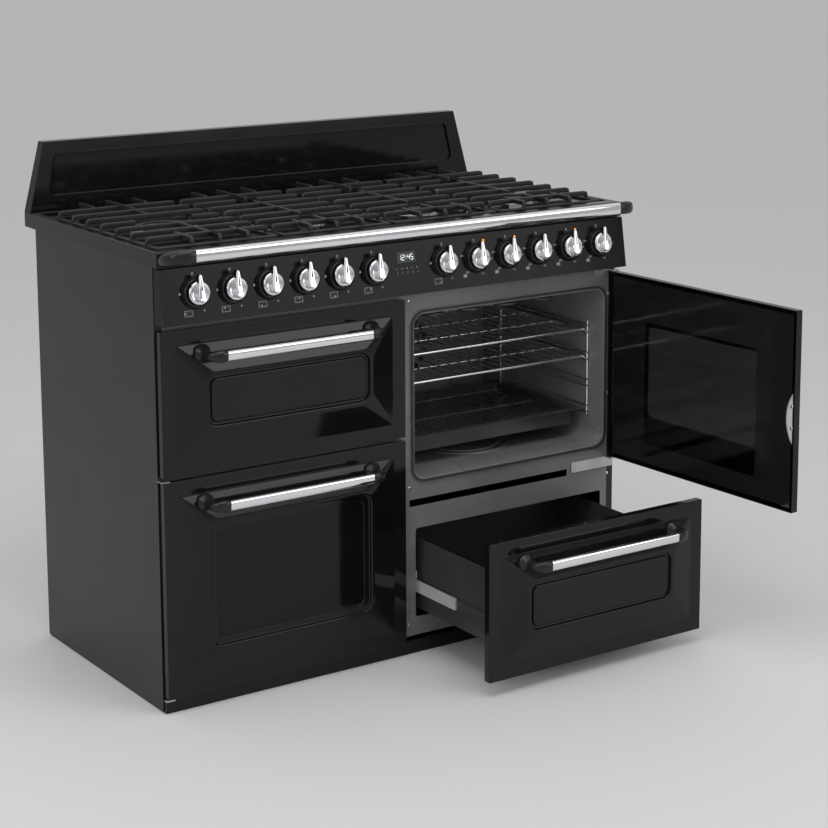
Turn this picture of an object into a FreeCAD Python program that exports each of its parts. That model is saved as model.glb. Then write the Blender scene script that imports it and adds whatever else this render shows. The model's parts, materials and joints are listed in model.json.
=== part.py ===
"""A free-standing range cooker, 110 cm wide: seven gas burners, three ovens and a storage drawer.

Millimetres. X runs to the right as seen from the front, Y to the back, Z up. The origin is the middle of the
footprint, on the floor. The right oven's door and the drawer are modelled open.
"""
import FreeCAD, Part
import math
import os

os.makedirs("parts", exist_ok=True)
Vector = FreeCAD.Vector

# ---- driving dimensions --------------------------------------------------------------------------------
width = 1100.0
depth = 600.0
worktop_height = 900.0
worktop_edge = 30.0          # depth of the worktop's turned-down rim
splash_height = 145.0        # splashback above the worktop
side_return = 16.0           # flanges folded in along the side panels' edges
sheet = 1.5                  # folded and pressed carcass sheet
press = 2.0                  # heavier enamelled sheet of doors, hob and fascia
contact_gap = 0.5            # between a liner and the hole it passes through

body_setback = 20.0          # carcass front behind the worktop's front edge
rear_setback = 55.0          # carcass back in front of the worktop's rear edge
plinth_setback = 12.0        # plinth behind the worktop's front edge
base_height = 30.0
column_gap = 6.0             # between the doors of the two columns
door_thickness = 16.0
door_bottom = 31.0
door_top_drop = 150.5        # worktop top down to the doors' top edge
lower_door_height = 428.5
door_gap = 7.5               # between the two left doors
drawer_height = 281.0
right_door_gap = 28.0        # between the drawer front and the right oven door

border = 30.0                # flat margin round each pressed front
slope = 56.0                 # width of the pressed slope, seen from the front
slope_rise = 13.0            # how far the slope stands out
rim_corner = 26.0
cup_lip = 6.0                # flat lip inside the slope
cup_depth = 7.0              # groove round the middle panel, back from the lip
groove = 7.0                 # width of that groove
panel_sink = 2.0             # middle panel back from the lip
window_ledge = 14.0
pane = 4.0                   # glass thickness
pane_inset = 8.0             # inner pane in from the door's edges
latch_height = 108.0         # scoop in the inner pane's free edge, for the catch plate
latch_scoop = 18.0
latch_below = 15.0           # catch below the middle of the door

door_open_angle = 93.0       # the right door as modelled
drawer_open = 281.0          # the drawer as modelled
hinge_inset = 6.0            # hinge pins in from the door edges
hinge_back = 9.0             # hinge pins behind the door's flat face
pin_radius = 4.0
pin_clearance = 0.05
drop_hinge_rise = 7.5        # upper left door: pins above its bottom edge
drop_arm_inset = 24.0        # upper left door: hinge arms in from its side edges

cavity_side = 27.0           # oven opening in from the door's side edge
cavity_corner = 25.0
cavity_flange = 10.0
right_oven = (369.0, 712.0)  # bottom and top of each oven opening
upper_oven = (500.0, 722.0)
lower_oven = (80.0, 430.0)
oven_depth = 445.0
upper_oven_depth = 420.0
seal_width = 5.0
seal_squash = 0.4            # left between the seal and the door

fascia_top_drop = 32.0       # worktop top down to the fascia's top edge
fascia_height = 105.0
fascia_top_reach = 3.0       # fascia in front of the worktop's front edge, at its top and bottom
fascia_bottom_reach = 20.0
knob_drop = 81.0             # worktop top down to the knob centres
knob_pitch = 79.0
knob_first = 83.5            # middle of the fascia to the first knob on either side
knobs_per_side = 6
gas_knobs = 7
knob_radius = 22.5
knob_reach = 22.0            # knob's face in front of the fascia
knob_thickness = 9.0
hub_radius = 7.0
bezel_radius = 30.0
bezel_height = 13.0
bezel_taper = 4.0
bezel_dish = 4.0             # depth of the dish that the knob turns in
blade_length = 31.0          # knob centre to the middle of the blade's tip
blade_rise = 9.0             # blade in front of the knob's face
blade_tip = 3.8              # radii of the teardrop's ends
blade_heel = 8.0
heel_reach = 9.0             # knob centre down to the middle of the heel
spindle_radius = 3.0
clock_x = -6.0
clock_drop = 62.0
clock_size = (46.0, 25.0)
button_radius = 2.85
button_pitch = 12.0
button_drop = 92.0
button_count = 5
button_travel = 0.8
lamp_radius = 2.6
lamp_offset = (22.0, 34.0)
lamp_knobs = (7, 8, 10)

rail_half = 500.0
rail_size = (14.0, 24.0)
rail_standoff = 54.0
rail_drop = 3.0
handle_half = 161.0
handle_size = (12.0, 20.0)
handle_standoff = 52.0       # bar centre in front of the door's flat face
handle_drop = 48.0           # bar centre below the door's top edge
handle_foot = 188.0          # middle of the door to each handle foot
foot_radius = 17.0

column_pitch = 260.0         # pitch of the pan supports and burners across the hob
well_depth = 4.0             # level part of the hob below its rim
bowl_depth = 12.0            # further down to the bowls round the burners
bowl_margin = 13.0           # bowl's floor round a burner, and its sloping side
bowl_side = 11.0
well_margin = (15.0, 30.0, 45.0)   # hob rim at the sides, front and rear
rear_row = 108.0
front_row = -135.0
wok_row = -15.0
support_rise = 15.0          # pan support top above the worktop
support_bar = (8.0, 10.0)

inlet_radius = 10.48         # half inch pipe thread
inlet_length = 18.0
gas_collar = 13.0
gland_radius = 12.5

# ---- places that follow --------------------------------------------------------------------------------
half = width / 2
front_y = -depth / 2
rear_y = depth / 2
frame_y = front_y + body_setback
back_y = rear_y - rear_setback
door_top = worktop_height - door_top_drop
lower_door_top = door_bottom + lower_door_height
upper_door_bottom = lower_door_top + door_gap
drawer_top = door_bottom + drawer_height
right_door_bottom = drawer_top + right_door_gap
door_outer = half - column_gap / 2
door_inner = column_gap / 2
door_back = front_y + door_thickness
carcass_top = worktop_height - worktop_edge
fascia_top = worktop_height - fascia_top_drop
fascia_bottom = fascia_top - fascia_height
frame_top = fascia_bottom - 3
hinge_x = door_outer - hinge_inset
hinge_y = front_y + hinge_back
drop_hinge_z = upper_door_bottom + drop_hinge_rise
fascia_lean = math.degrees(math.atan2(fascia_bottom_reach - fascia_top_reach, fascia_height))
fascia_skin = press * math.cos(math.radians(fascia_lean))
well_floor = worktop_height - well_depth
bowl_floor = well_floor - bowl_depth
columns = [column_pitch * (k - 1.5) for k in range(4)]
knob_x = [-(knob_first + knob_pitch * k) for k in reversed(range(knobs_per_side))]
knob_x += [knob_first + knob_pitch * k for k in range(knobs_per_side)]


# ---- shape helpers -------------------------------------------------------------------------------------
def box(x0, x1, y0, y1, z0, z1):
    return Part.makeBox(x1 - x0, y1 - y0, z1 - z0, Vector(x0, y0, z0))


def rod(radius, start, end):
    """A cylinder between two points."""
    a, b = Vector(*start), Vector(*end)
    return Part.makeCylinder(radius, (b - a).Length, a, b - a)


def fuse(shapes):
    first, *rest = shapes
    return first.multiFuse(rest).removeSplitter() if rest else first


def rounded_wire(x0, x1, z0, z1, r, y):
    """A rectangle with round corners, facing along Y."""
    corners = [(x1 - r, z1 - r, 0), (x0 + r, z1 - r, 90), (x0 + r, z0 + r, 180), (x1 - r, z0 + r, 270)]
    arcs = [
        [Vector(cx + r * math.cos(math.radians(start + t)), y, cz + r * math.sin(math.radians(start + t)))
         for t in (0, 45, 90)]
        for cx, cz, start in corners
    ]
    edges = []
    for k, arc in enumerate(arcs):
        edges.append(Part.Arc(*arc).toShape())
        edges.append(Part.LineSegment(arc[2], arcs[(k + 1) % 4][0]).toShape())
    return Part.Wire(edges)


def rounded_block(x0, x1, y0, y1, z0, z1, r):
    """A block whose four edges along Y are round."""
    return Part.Face(rounded_wire(x0, x1, z0, z1, r, y0)).extrude(Vector(0, y1 - y0, 0))


def oval_bar(x0, x1, y, z, size):
    """A flat bar along X with a rounded section, centred on y and z."""
    dy, dz = size
    bar = box(x0, x1, y - dy / 2, y + dy / 2, z - dz / 2, z + dz / 2)
    long_edges = [e for e in bar.Edges if abs(e.tangentAt(e.FirstParameter).x) > 0.99]
    return bar.makeFillet(dy / 2 - 0.5, long_edges)


def oval_wire(centre, across, half_across, half_height):
    """An ellipse standing upright: taller than it is wide."""
    c = Vector(*centre)
    side = Vector(*across).normalize()
    edge = Part.Ellipse(c + Vector(0, 0, half_height), c + side * half_across, c).toShape()
    return Part.Wire([edge])


def horn(bar_x, foot_x, bar_y, foot_y, z, section, foot):
    """The curved casting between a bar's end and its foot. bar_x to foot_x runs away from the bar."""
    way = 1 if foot_x > bar_x else -1
    run = abs(foot_x - bar_x)
    reach = foot_y - bar_y
    return Part.makeLoft(
        [
            oval_wire((bar_x, bar_y, z), (0, 1, 0), section[0] / 2 + 0.4, section[1] / 2 + 0.4),
            oval_wire((bar_x + way * run * 0.55, bar_y + reach * 0.03, z), (way * 0.3, 1, 0), foot * 0.5,
                      foot * 0.68),
            oval_wire((foot_x, bar_y + reach * 0.36, z), (1, way * 0.5, 0), foot * 0.5, foot * 0.66),
            oval_wire((foot_x, foot_y, z), (1, 0, 0), foot * 0.72, foot * 0.74),
        ],
        True,
    )


def mirrored(shape):
    return shape.mirror(Vector(0, 0, 0), Vector(1, 0, 0))


def on_fascia(shape, x, drop):
    """Stands a shape made about the Z axis on the sloping fascia, drop below the worktop."""
    lean = math.radians(fascia_lean)
    y = front_y - fascia_top_reach - (drop - fascia_top_drop) * math.tan(lean)
    placed = shape.copy()
    placed.rotate(Vector(0, 0, 0), Vector(1, 0, 0), 90 - fascia_lean)
    placed.translate(Vector(x, y, worktop_height - drop))
    return placed


def save(name, *shapes):
    solids = [s for shape in shapes for s in shape.Solids]
    shape = solids[0] if len(solids) == 1 else Part.makeCompound(solids)
    if not shape.isValid():
        print("not valid:", name)
    shape.exportStep(f"parts/{name}.step")


# ---- carcass -------------------------------------------------------------------------------------------
# Side panels: one folded sheet each, returned inwards at the front and at the back.
def side_panel():
    bottom, top = 3.0, carcass_top
    panel = box(half - sheet, half, frame_y, back_y, bottom, top)
    front_return = box(half - side_return, half, frame_y, frame_y + sheet, base_height, top)
    rear_return = box(half - side_return, half, back_y - sheet, back_y, base_height, top)
    return fuse([panel, front_return, rear_return])


save("side_panels", side_panel(), mirrored(side_panel()))

# Back panel: in front of the side panels' rear returns, with louvres and holes for the gas inlet, the supply
# cable and the anti-tip straps.
gas_x = 115.0
gas_z = worktop_height - 85.0
gland_x = 430.0
gland_z = 60.0
tip_half = 300.0             # screw holes for the anti-tip straps
tip_z = 850.0
tip_radius = 3.5
back_in = half - sheet - contact_gap
back_sheet = (back_y - 2 * sheet, back_y - sheet)
back_panel = box(-back_in, back_in, *back_sheet, base_height - sheet, carcass_top)
louvres = [
    box(side * back_in / 2 - 90, side * back_in / 2 + 90, back_sheet[0] - 1, back_sheet[1] + 1, z, z + 5)
    for side in (-1, 1)
    for z in (600 + 16 * k for k in range(9))
]
holes = [rod(gas_collar + contact_gap, (gas_x, back_y - 10, gas_z), (gas_x, back_y + 10, gas_z))]
holes += [rod(gland_radius, (gland_x, back_y - 10, gland_z), (gland_x, back_y + 10, gland_z))]
holes += [rod(tip_radius, (s * tip_half, back_y - 10, tip_z), (s * tip_half, back_y + 10, tip_z))
          for s in (-1, 1)]
save("back_panel", back_panel.cut(Part.makeCompound(louvres + holes)))

# Base pan with the plinth folded down round its front and sides. The plinth's rim stands on the floor.
plinth_y = front_y + plinth_setback
base_in = half - sheet - contact_gap
deck = box(-base_in, base_in, plinth_y, back_y - sheet, base_height - 2 * sheet, base_height - sheet)
plinth = box(-base_in, base_in, plinth_y, plinth_y + sheet, 0, base_height - sheet)
skirts = [box(s * base_in - (sheet if s > 0 else 0), s * base_in + (0 if s > 0 else sheet),
              plinth_y, back_y - sheet, 0, base_height - sheet) for s in (-1, 1)]
foot_x = half - 60
foot_rod = 5.0
foot_spots = [(sx * foot_x, y) for sx in (-1, 1) for y in (front_y + 70, back_y - 60)]
foot_holes = [rod(foot_rod + 0.5, (x, y, base_height - 5), (x, y, base_height)) for x, y in foot_spots]
save("base_pan", fuse([deck, plinth] + skirts).cut(Part.makeCompound(foot_holes)))


def levelling_foot(x, y):
    pad = Part.makeCone(20, 14, 8, Vector(x, y, 0))
    nut = Part.makeCylinder(9, 6, Vector(x, y, base_height - 2 * sheet - 6))
    return fuse([pad, nut, rod(foot_rod, (x, y, 6), (x, y, base_height + 8))])


save("levelling_feet", *[levelling_foot(x, y) for x, y in foot_spots])

# Front frame: one enamelled plate with an opening for each oven, the vent slot and the drawer.
column_cavity = (door_inner + cavity_side, door_outer - cavity_side)
left_cavity = (-column_cavity[1], -column_cavity[0])
frame_in = half - side_return - contact_gap
frame_bottom = 35.0
drawer_hole = (door_inner + 30, door_outer - 30, 74.0, 264.0)
vent_slot = (door_inner + 15, 425.0, drawer_top - 1, right_door_bottom - 14)


def cavity_hole(side, span, grow):
    return rounded_block(side[0] - grow, side[1] + grow, frame_y - 5, frame_y + 5, span[0] - grow,
                         span[1] + grow, cavity_corner + grow)


frame = box(-frame_in, frame_in, frame_y, frame_y + sheet, frame_bottom, frame_top)
frame = fuse([frame, box(-frame_in, frame_in, frame_y, frame_y + 14, frame_top - sheet, frame_top)])
frame_holes = [cavity_hole(column_cavity, right_oven, sheet + contact_gap)]
frame_holes += [cavity_hole(left_cavity, span, sheet + contact_gap) for span in (upper_oven, lower_oven)]
frame_holes += [rounded_block(drawer_hole[0], drawer_hole[1], frame_y - 5, frame_y + 5, drawer_hole[2],
                              drawer_hole[3], 6)]
frame_holes += [box(vent_slot[0], vent_slot[1], frame_y - 5, frame_y + 5, vent_slot[2], vent_slot[3])]
vent_pitch = 45.0
vent_notch = 22.0
for k in range(11):
    for x in (50 + vent_pitch * k, -50 - vent_pitch * k):
        frame_holes += [box(x - vent_notch / 2, x + vent_notch / 2, frame_y - 5, frame_y + 5, frame_top - 5,
                            frame_top + 1)]
save("front_frame", frame.cut(Part.makeCompound(frame_holes)))

# Splashback: a tapering sheet box, open at the back, with a shallow pressed panel in its face.
splash_bottom = worktop_height
splash_top = worktop_height + splash_height
splash_foot = 30.0           # thickness at its foot and at its head
splash_head = 24.0
splash_taper = 36.0          # how much each side leans in


def splash_block(inset):
    rear = rear_y + (1 if inset else 0)

    def level(x, front, z):
        corners = [Vector(-x, front, z), Vector(x, front, z), Vector(x, rear, z), Vector(-x, rear, z)]
        return Part.makePolygon(corners + corners[:1])

    low = level(half - 1 - inset, rear_y - splash_foot + inset, splash_bottom + (sheet if inset else 0))
    high = level(half - 1 - splash_taper - inset, rear_y - splash_head + inset, splash_top - inset)
    return Part.makeLoft([low, high], True, True)


panel_low = 33.0             # pressed panel above the splashback's foot, and below its head
panel_high = 26.0
panel_side = (507.0, 487.0)  # half its width at the bottom and at the top
panel_corner = 12.0


def panel_block(grow, y0, y1):
    """The pressed panel's outline with rounded corners, extruded along Y."""
    low, high = splash_bottom + panel_low - grow, splash_top - panel_high + grow
    corners = [Vector(-panel_side[0] - grow, y0, low), Vector(panel_side[0] + grow, y0, low),
               Vector(panel_side[1] + grow, y0, high), Vector(-panel_side[1] - grow, y0, high)]
    block = Part.Face(Part.makePolygon(corners + corners[:1])).extrude(Vector(0, y1 - y0, 0))
    upright = [e for e in block.Edges if abs(e.tangentAt(e.FirstParameter).y) > 0.99]
    return block.makeFillet(panel_corner + grow, upright)


recess = panel_block(0, rear_y - splash_foot - 5, rear_y - splash_head + 1)
recess_back = panel_block(press, rear_y - splash_head - 4, rear_y - splash_head + 1 + press)
save("splashback", splash_block(0).cut(splash_block(press)).fuse(recess_back).cut(recess))

# ---- hob -----------------------------------------------------------------------------------------------
# The burners: column, row and radius of the burner ring.
burners = [
    (0, wok_row, 62.0),
    (1, rear_row, 44.0), (1, front_row, 27.0),
    (2, rear_row, 36.0), (2, front_row, 44.0),
    (3, rear_row, 36.0), (3, front_row, 36.0),
]
cup_share = 0.6              # the cup below the hob, as a share of the ring's radius
well = (-half + well_margin[0], half - well_margin[0], front_y + well_margin[1], rear_y - well_margin[2])

rim_block = box(-half, half, front_y, rear_y, worktop_height - worktop_edge, worktop_height)
top_edges = [e for e in rim_block.Edges if abs(e.CenterOfMass.z - worktop_height) < 0.1]
upright_edges = [e for e in rim_block.Edges if abs(e.tangentAt(e.FirstParameter).z) > 0.99]
rim_block = rim_block.makeFillet(3.0, top_edges + upright_edges)
rim_hollow = box(-half + press, half - press, front_y + press, rear_y - press,
                 worktop_height - worktop_edge - 1, worktop_height - press)
well_walls = box(well[0] - press, well[1] + press, well[2] - press, well[3] + press,
                 well_floor - press, worktop_height - press)
well_space = box(well[0], well[1], well[2], well[3], well_floor, worktop_height + 1)


def bowl(column, y, radius, skin):
    """The round bowl under a burner, open upwards. With a skin it is the pressing's underside."""
    floor_radius = radius + bowl_margin + skin
    top_radius = floor_radius + bowl_side
    low, high = bowl_floor - skin, well_floor - skin
    space = Part.makeCone(floor_radius, top_radius, high - low, Vector(columns[column], y, low))
    return fuse([space, Part.makeCylinder(top_radius, 1, Vector(columns[column], y, high))])


burner_holes = Part.makeCompound([
    rod(r * cup_share + contact_gap, (columns[c], y, bowl_floor - 5), (columns[c], y, bowl_floor + 5))
    for c, y, r in burners
])
hob = rim_block.cut(rim_hollow).fuse([well_walls] + [bowl(*b, press) for b in burners])
hob = hob.cut(well_space).cut(Part.makeCompound([bowl(*b, 0) for b in burners]))
save("hob_top", hob.cut(burner_holes))

crown_low = 3.0              # heights above the bowl's floor: crown, crown top and cap top
crown_high = 12.0
cap_high = 17.0


def crown(x, y, radius, inner):
    """A ring with flame slots round its edge."""
    ring = Part.makeCylinder(radius, crown_high - crown_low, Vector(x, y, bowl_floor + crown_low))
    if inner:
        ring = ring.cut(Part.makeCylinder(inner, 30, Vector(x, y, bowl_floor - 5)))
    slots = []
    count = int(radius / 1.6)
    for k in range(count):
        slot = box(radius - 2.5, radius + 1, -0.9, 0.9, crown_low + 3, crown_high + 1)
        slot.rotate(Vector(0, 0, 0), Vector(0, 0, 1), 360.0 * k / count)
        slot.translate(Vector(x, y, bowl_floor))
        slots.append(slot)
    return ring.cut(Part.makeCompound(slots))


def burner_body(column, y, radius):
    x = columns[column]
    cup = rod(radius * cup_share, (x, y, bowl_floor - 26), (x, y, bowl_floor))
    plate = rod(radius + 4, (x, y, bowl_floor), (x, y, bowl_floor + crown_low))
    if column:
        return fuse([cup, plate, crown(x, y, radius, 0)])
    return fuse([cup, plate, crown(x, y, radius, radius * 0.72), crown(x, y, radius * 0.42, 0)])


def igniter(column, y, radius):
    x = columns[column] + radius + 9
    return rod(2.5, (x, y, bowl_floor), (x, y, bowl_floor + 9))


def burner_cap(column, y, radius):
    x, low = columns[column], bowl_floor + crown_high
    if column:
        return Part.makeCone(radius - 1, radius - 4, cap_high - crown_high, Vector(x, y, low))
    ring = Part.makeCylinder(radius - 1, cap_high - crown_high - 1, Vector(x, y, low))
    ring = ring.cut(Part.makeCylinder(radius * 0.72, 20, Vector(x, y, low - 5)))
    centre = Part.makeCone(radius * 0.42, radius * 0.42 - 3, cap_high - crown_high, Vector(x, y, low))
    return Part.makeCompound([ring, centre])


save("burner_bodies", *[burner_body(*b) for b in burners])
save("igniters", *[igniter(*b) for b in burners])
save("burner_caps", *[burner_cap(*b) for b in burners])

# Pan supports: a cast frame per column. Its fingers rise from a low frame on the hob, and run in to the
# burners.
support_half = (column_pitch - 10) / 2
support_outer = 13.0         # the outermost supports reach further out
support_y = (-250.0, 190.0)  # front and rear bars of the low frame
support_top = worktop_height + support_rise
bar_w, bar_h = support_bar
low_bar = (9.0, 5.0)
leg_thick = 6.0
finger_clear = 26.0
wok_clear = 62.0
finger_rows = [180.0 - 65.0 * k for k in range(7)]
short_offset = 60.0          # fingers either side of the middle, at the front and at the rear
short_front = -180.0
rear_end = 245.0
rear_rise = 3.0


def finger(x0, x1, y0, y1, rise=0.0):
    """A bar between two points, its top level with the pans or a little above."""
    across, along = (0, bar_w / 2) if y0 == y1 else (bar_w / 2, 0)
    return box(min(x0, x1) - across, max(x0, x1) + across, min(y0, y1) - along, max(y0, y1) + along,
               support_top - bar_h, support_top + rise)


def leg(x, y, dx, dy):
    """A turned-down end, from the pans' level to the hob."""
    return box(x - dx / 2, x + dx / 2, y - dy / 2, y + dy / 2, well_floor, support_top)


def pan_support(column):
    x = columns[column]
    left = x - support_half - (support_outer if column == 0 else 0)
    right = x + support_half + (support_outer if column == 3 else 0)
    rows = sorted(y for c, y, r in burners if c == column)
    clear = finger_clear if column else wok_clear
    bars = [box(left, left + low_bar[0], *support_y, well_floor, well_floor + low_bar[1])]
    bars += [box(right - low_bar[0], right, *support_y, well_floor, well_floor + low_bar[1])]
    bars += [box(left, right, y - low_bar[0] / 2, y + low_bar[0] / 2, well_floor, well_floor + low_bar[1])
             for y in support_y]
    for y in finger_rows:
        near = min(abs(y - row) for row in rows)
        stop = math.sqrt(clear ** 2 - near ** 2) if near < clear else 0.0
        bars += [finger(left, x - stop, y, y), finger(x + stop, right, y, y)]
        bars += [leg(end, y, leg_thick, bar_w) for end in (left + leg_thick / 2, right - leg_thick / 2)]
    ends = [support_y[0]] + [v for row in rows for v in (row - clear, row + clear)] + [finger_rows[0]]
    bars += [finger(x, x, ends[k], ends[k + 1]) for k in range(0, len(ends), 2)]
    for dx in (-short_offset, 0, short_offset):
        bars += [finger(x + dx, x + dx, finger_rows[1] if dx == 0 else finger_rows[0], rear_end, rear_rise)]
        bars += [finger(x + dx, x + dx, support_y[0], finger_rows[6] if dx == 0 else short_front)]
        bars += [leg(x + dx, support_y[0], bar_w, leg_thick)]
    return fuse(bars)


save("pan_supports", *[pan_support(c) for c in range(4)])

# ---- fascia, controls and rail -------------------------------------------------------------------------
fascia_in = half - 1


def fascia_front(z):
    """Where the fascia's sloping face lies at a height."""
    return front_y - fascia_top_reach - (fascia_top - z) * math.tan(math.radians(fascia_lean))


def fascia_prism(inset, x_in):
    """The fascia's outline, extruded along X. An inset one runs out through the back."""
    top_y = fascia_front(fascia_top - inset)
    bottom_y = fascia_front(fascia_bottom + inset)
    rear = frame_y + (20 if inset else 0)
    points = [
        Vector(-x_in, top_y + inset, fascia_top - inset),
        Vector(-x_in, bottom_y + inset, fascia_bottom + inset),
        Vector(-x_in, rear, fascia_bottom + inset),
        Vector(-x_in, rear, fascia_top - inset),
    ]
    return Part.Face(Part.makePolygon(points + points[:1])).extrude(Vector(2 * x_in, 0, 0))


button_x = [clock_x + button_pitch * (k - (button_count - 1) / 2) for k in range(button_count)]
clock_w, clock_h = clock_size
lamp_places = [(knob_x[k] + lamp_offset[0], knob_drop - lamp_offset[1]) for k in lamp_knobs]


def fascia_hole(radius, x, drop):
    return on_fascia(Part.makeCylinder(radius, 20, Vector(0, 0, -10)), x, drop)


fascia_cuts = [fascia_hole(spindle_radius + 2, x, knob_drop) for x in knob_x]
fascia_cuts += [fascia_hole(button_radius + pin_clearance, x, button_drop) for x in button_x]
fascia_cuts += [fascia_hole(lamp_radius + 0.2, *place) for place in lamp_places]
clock_hole = box(-clock_w / 2, clock_w / 2, -clock_h / 2, clock_h / 2, -10, 10)
fascia_cuts += [on_fascia(clock_hole, clock_x, clock_drop)]
fascia = fascia_prism(0, fascia_in).cut(fascia_prism(press, fascia_in - press))
save("control_panel", fascia.cut(Part.makeCompound(fascia_cuts)))

lens = box(-clock_w / 2 + 0.3, clock_w / 2 - 0.3, -clock_h / 2 + 0.3, clock_h / 2 - 0.3, -3, 0.6)
lamp = Part.makeCylinder(lamp_radius, 5, Vector(0, 0, -4))
lamps = [on_fascia(lamp, *place) for place in lamp_places]
save("indicator_lenses", on_fascia(lens, clock_x, clock_drop), *lamps)

button = Part.makeCylinder(button_radius, 4.4, Vector(0, 0, -3.2))
button = fuse([button, Part.makeCylinder(button_radius + 1.4, 1.2, Vector(0, 0, -4.2))])
for k, x in enumerate(button_x):
    save(f"clock_button_{k + 1}", on_fascia(button, x, button_drop))

bezel = Part.makeCone(bezel_radius, bezel_radius - bezel_taper, bezel_height)
bezel = bezel.cut(Part.makeCylinder(knob_radius + 1.5, bezel_height, Vector(0, 0, bezel_height - bezel_dish)))
bezel = bezel.cut(Part.makeCylinder(hub_radius + 2, bezel_height + 4, Vector(0, 0, -2)))
save("knob_bezels", *[on_fascia(bezel, x, knob_drop) for x in knob_x])


def knob():
    """A round chrome knob with a teardrop blade, on its spindle, made about the Z axis, its tip along Y."""
    disc = Part.makeCylinder(knob_radius, knob_thickness, Vector(0, 0, knob_reach - knob_thickness))
    disc = disc.makeFillet(3.0, [e for e in disc.Edges if abs(e.CenterOfMass.z - knob_reach) < 0.1])
    low = knob_reach - 6.0
    high = knob_reach + blade_rise
    sin_t = (blade_heel - blade_tip) / (blade_length + heel_reach)
    cos_t = math.sqrt(1 - sin_t ** 2)
    circles = [(-heel_reach, blade_heel), (blade_length, blade_tip)]
    right = [Vector(r * cos_t, y + r * sin_t, low) for y, r in circles]
    left = [Vector(-p.x, p.y, low) for p in reversed(right)]
    blade = Part.Face(Part.makePolygon(right + left + right[:1])).extrude(Vector(0, 0, high - low))
    ends = [Part.makeCylinder(r, high - low, Vector(0, y, low)) for y, r in circles]
    spindle = Part.makeCylinder(spindle_radius, 40, Vector(0, 0, -30))
    hub = Part.makeCylinder(hub_radius, knob_reach - knob_thickness - 2, Vector(0, 0, 4))
    return fuse([disc, blade, hub, spindle] + ends)


knob_shape = knob()
for k, x in enumerate(knob_x):
    save(f"knob_{k + 1:02d}", on_fascia(knob_shape, x, knob_drop))

# Gas taps on their supply tube, and the oven switches, behind the fascia.
tap_bore = Part.makeCylinder(spindle_radius + pin_clearance, 60, Vector(0, 0, -45))
manifold_y = front_y + 52
manifold_r = 9.0
tap_reach = (manifold_y - fascia_front(worktop_height - knob_drop)) / math.cos(math.radians(fascia_lean))
tap = Part.makeCylinder(12, tap_reach - fascia_skin, Vector(0, 0, -tap_reach))
taps = [on_fascia(tap, x, knob_drop) for x in knob_x[:gas_knobs]]
bores = Part.makeCompound([on_fascia(tap_bore, x, knob_drop) for x in knob_x])
tube = rod(manifold_r, (knob_x[0] - 30, manifold_y, gas_z), (gas_x, manifold_y, gas_z))
elbow = Part.makeSphere(manifold_r, Vector(gas_x, manifold_y, gas_z))
feed = rod(manifold_r, (gas_x, manifold_y, gas_z), (gas_x, back_y - 8, gas_z))
collar = rod(gas_collar, (gas_x, back_y - 8, gas_z), (gas_x, back_y + 4, gas_z))
inlet = rod(inlet_radius, (gas_x, back_y + 4, gas_z), (gas_x, back_y + 4 + inlet_length, gas_z))
gas_train = fuse(taps + [tube, elbow, feed, collar, inlet]).cut(bores)
switch = box(-20, 20, -20, 20, -44, -fascia_skin)
switches = [on_fascia(switch, x, knob_drop).cut(bores) for x in knob_x[gas_knobs:]]
save("gas_taps_and_switches", gas_train, *switches)

# Front rail: an oval bar between two curved castings on the worktop's front edge.
rail_y = front_y - rail_standoff
rail_z = worktop_height - rail_drop
rail_bar = oval_bar(-rail_half, rail_half, rail_y, rail_z, rail_size)
rail_foot_z = worktop_height - worktop_edge / 2
rail_foot = rod(12, (half - 14, front_y - 5, rail_foot_z), (half - 14, front_y, rail_foot_z))
rail_horn = Part.makeLoft([
    oval_wire((rail_half, rail_y, rail_z), (0, 1, 0), 7.4, 12.4),
    oval_wire((rail_half + 21, rail_y + 2, rail_z - 0.5), (-0.25, 1, 0), 9.5, 13.4),
    oval_wire((half - 12, rail_y + 16, rail_z - 3), (-1, 0.8, 0), 10.0, 13.0),
    oval_wire((half - 9, rail_y + 34, rail_z - 8), (-1, 0.1, 0), 10.5, 12.2),
    oval_wire((half - 14, front_y - 4, rail_foot_z), (-1, 0, 0), 11.0, 11.5),
], True)
rail_end = fuse([rail_horn, rail_foot])
save("towel_rail", rail_bar, rail_end, mirrored(rail_end))


# ---- ovens ---------------------------------------------------------------------------------------------
def liner(side, span, reach):
    """A pressed oven cavity with round corners and a flange that lies on the front frame."""
    (x0, x1), (z0, z1) = side, span
    outer = rounded_block(x0 - sheet, x1 + sheet, frame_y - 0.1, frame_y + reach + sheet, z0 - sheet,
                          z1 + sheet, cavity_corner + sheet)
    f = cavity_flange
    flange = rounded_block(x0 - f, x1 + f, frame_y - sheet, frame_y, z0 - f, z1 + f, cavity_corner + f)
    inner = rounded_block(x0, x1, frame_y - 10, frame_y + reach, z0, z1, cavity_corner)
    return outer.fuse(flange).cut(inner)


def seal(side, span):
    (x0, x1), (z0, z1) = side, span
    y0, y1 = door_back - 1 + seal_squash, frame_y - sheet
    out, inn = cavity_flange - 2, cavity_flange - 2 - seal_width
    ring = rounded_block(x0 - out, x1 + out, y0, y1, z0 - out, z1 + out, cavity_corner + out)
    space = rounded_block(x0 - inn, x1 + inn, y0 - 1, y1 + 1, z0 - inn, z1 + inn, cavity_corner + inn)
    return ring.cut(space)


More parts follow.
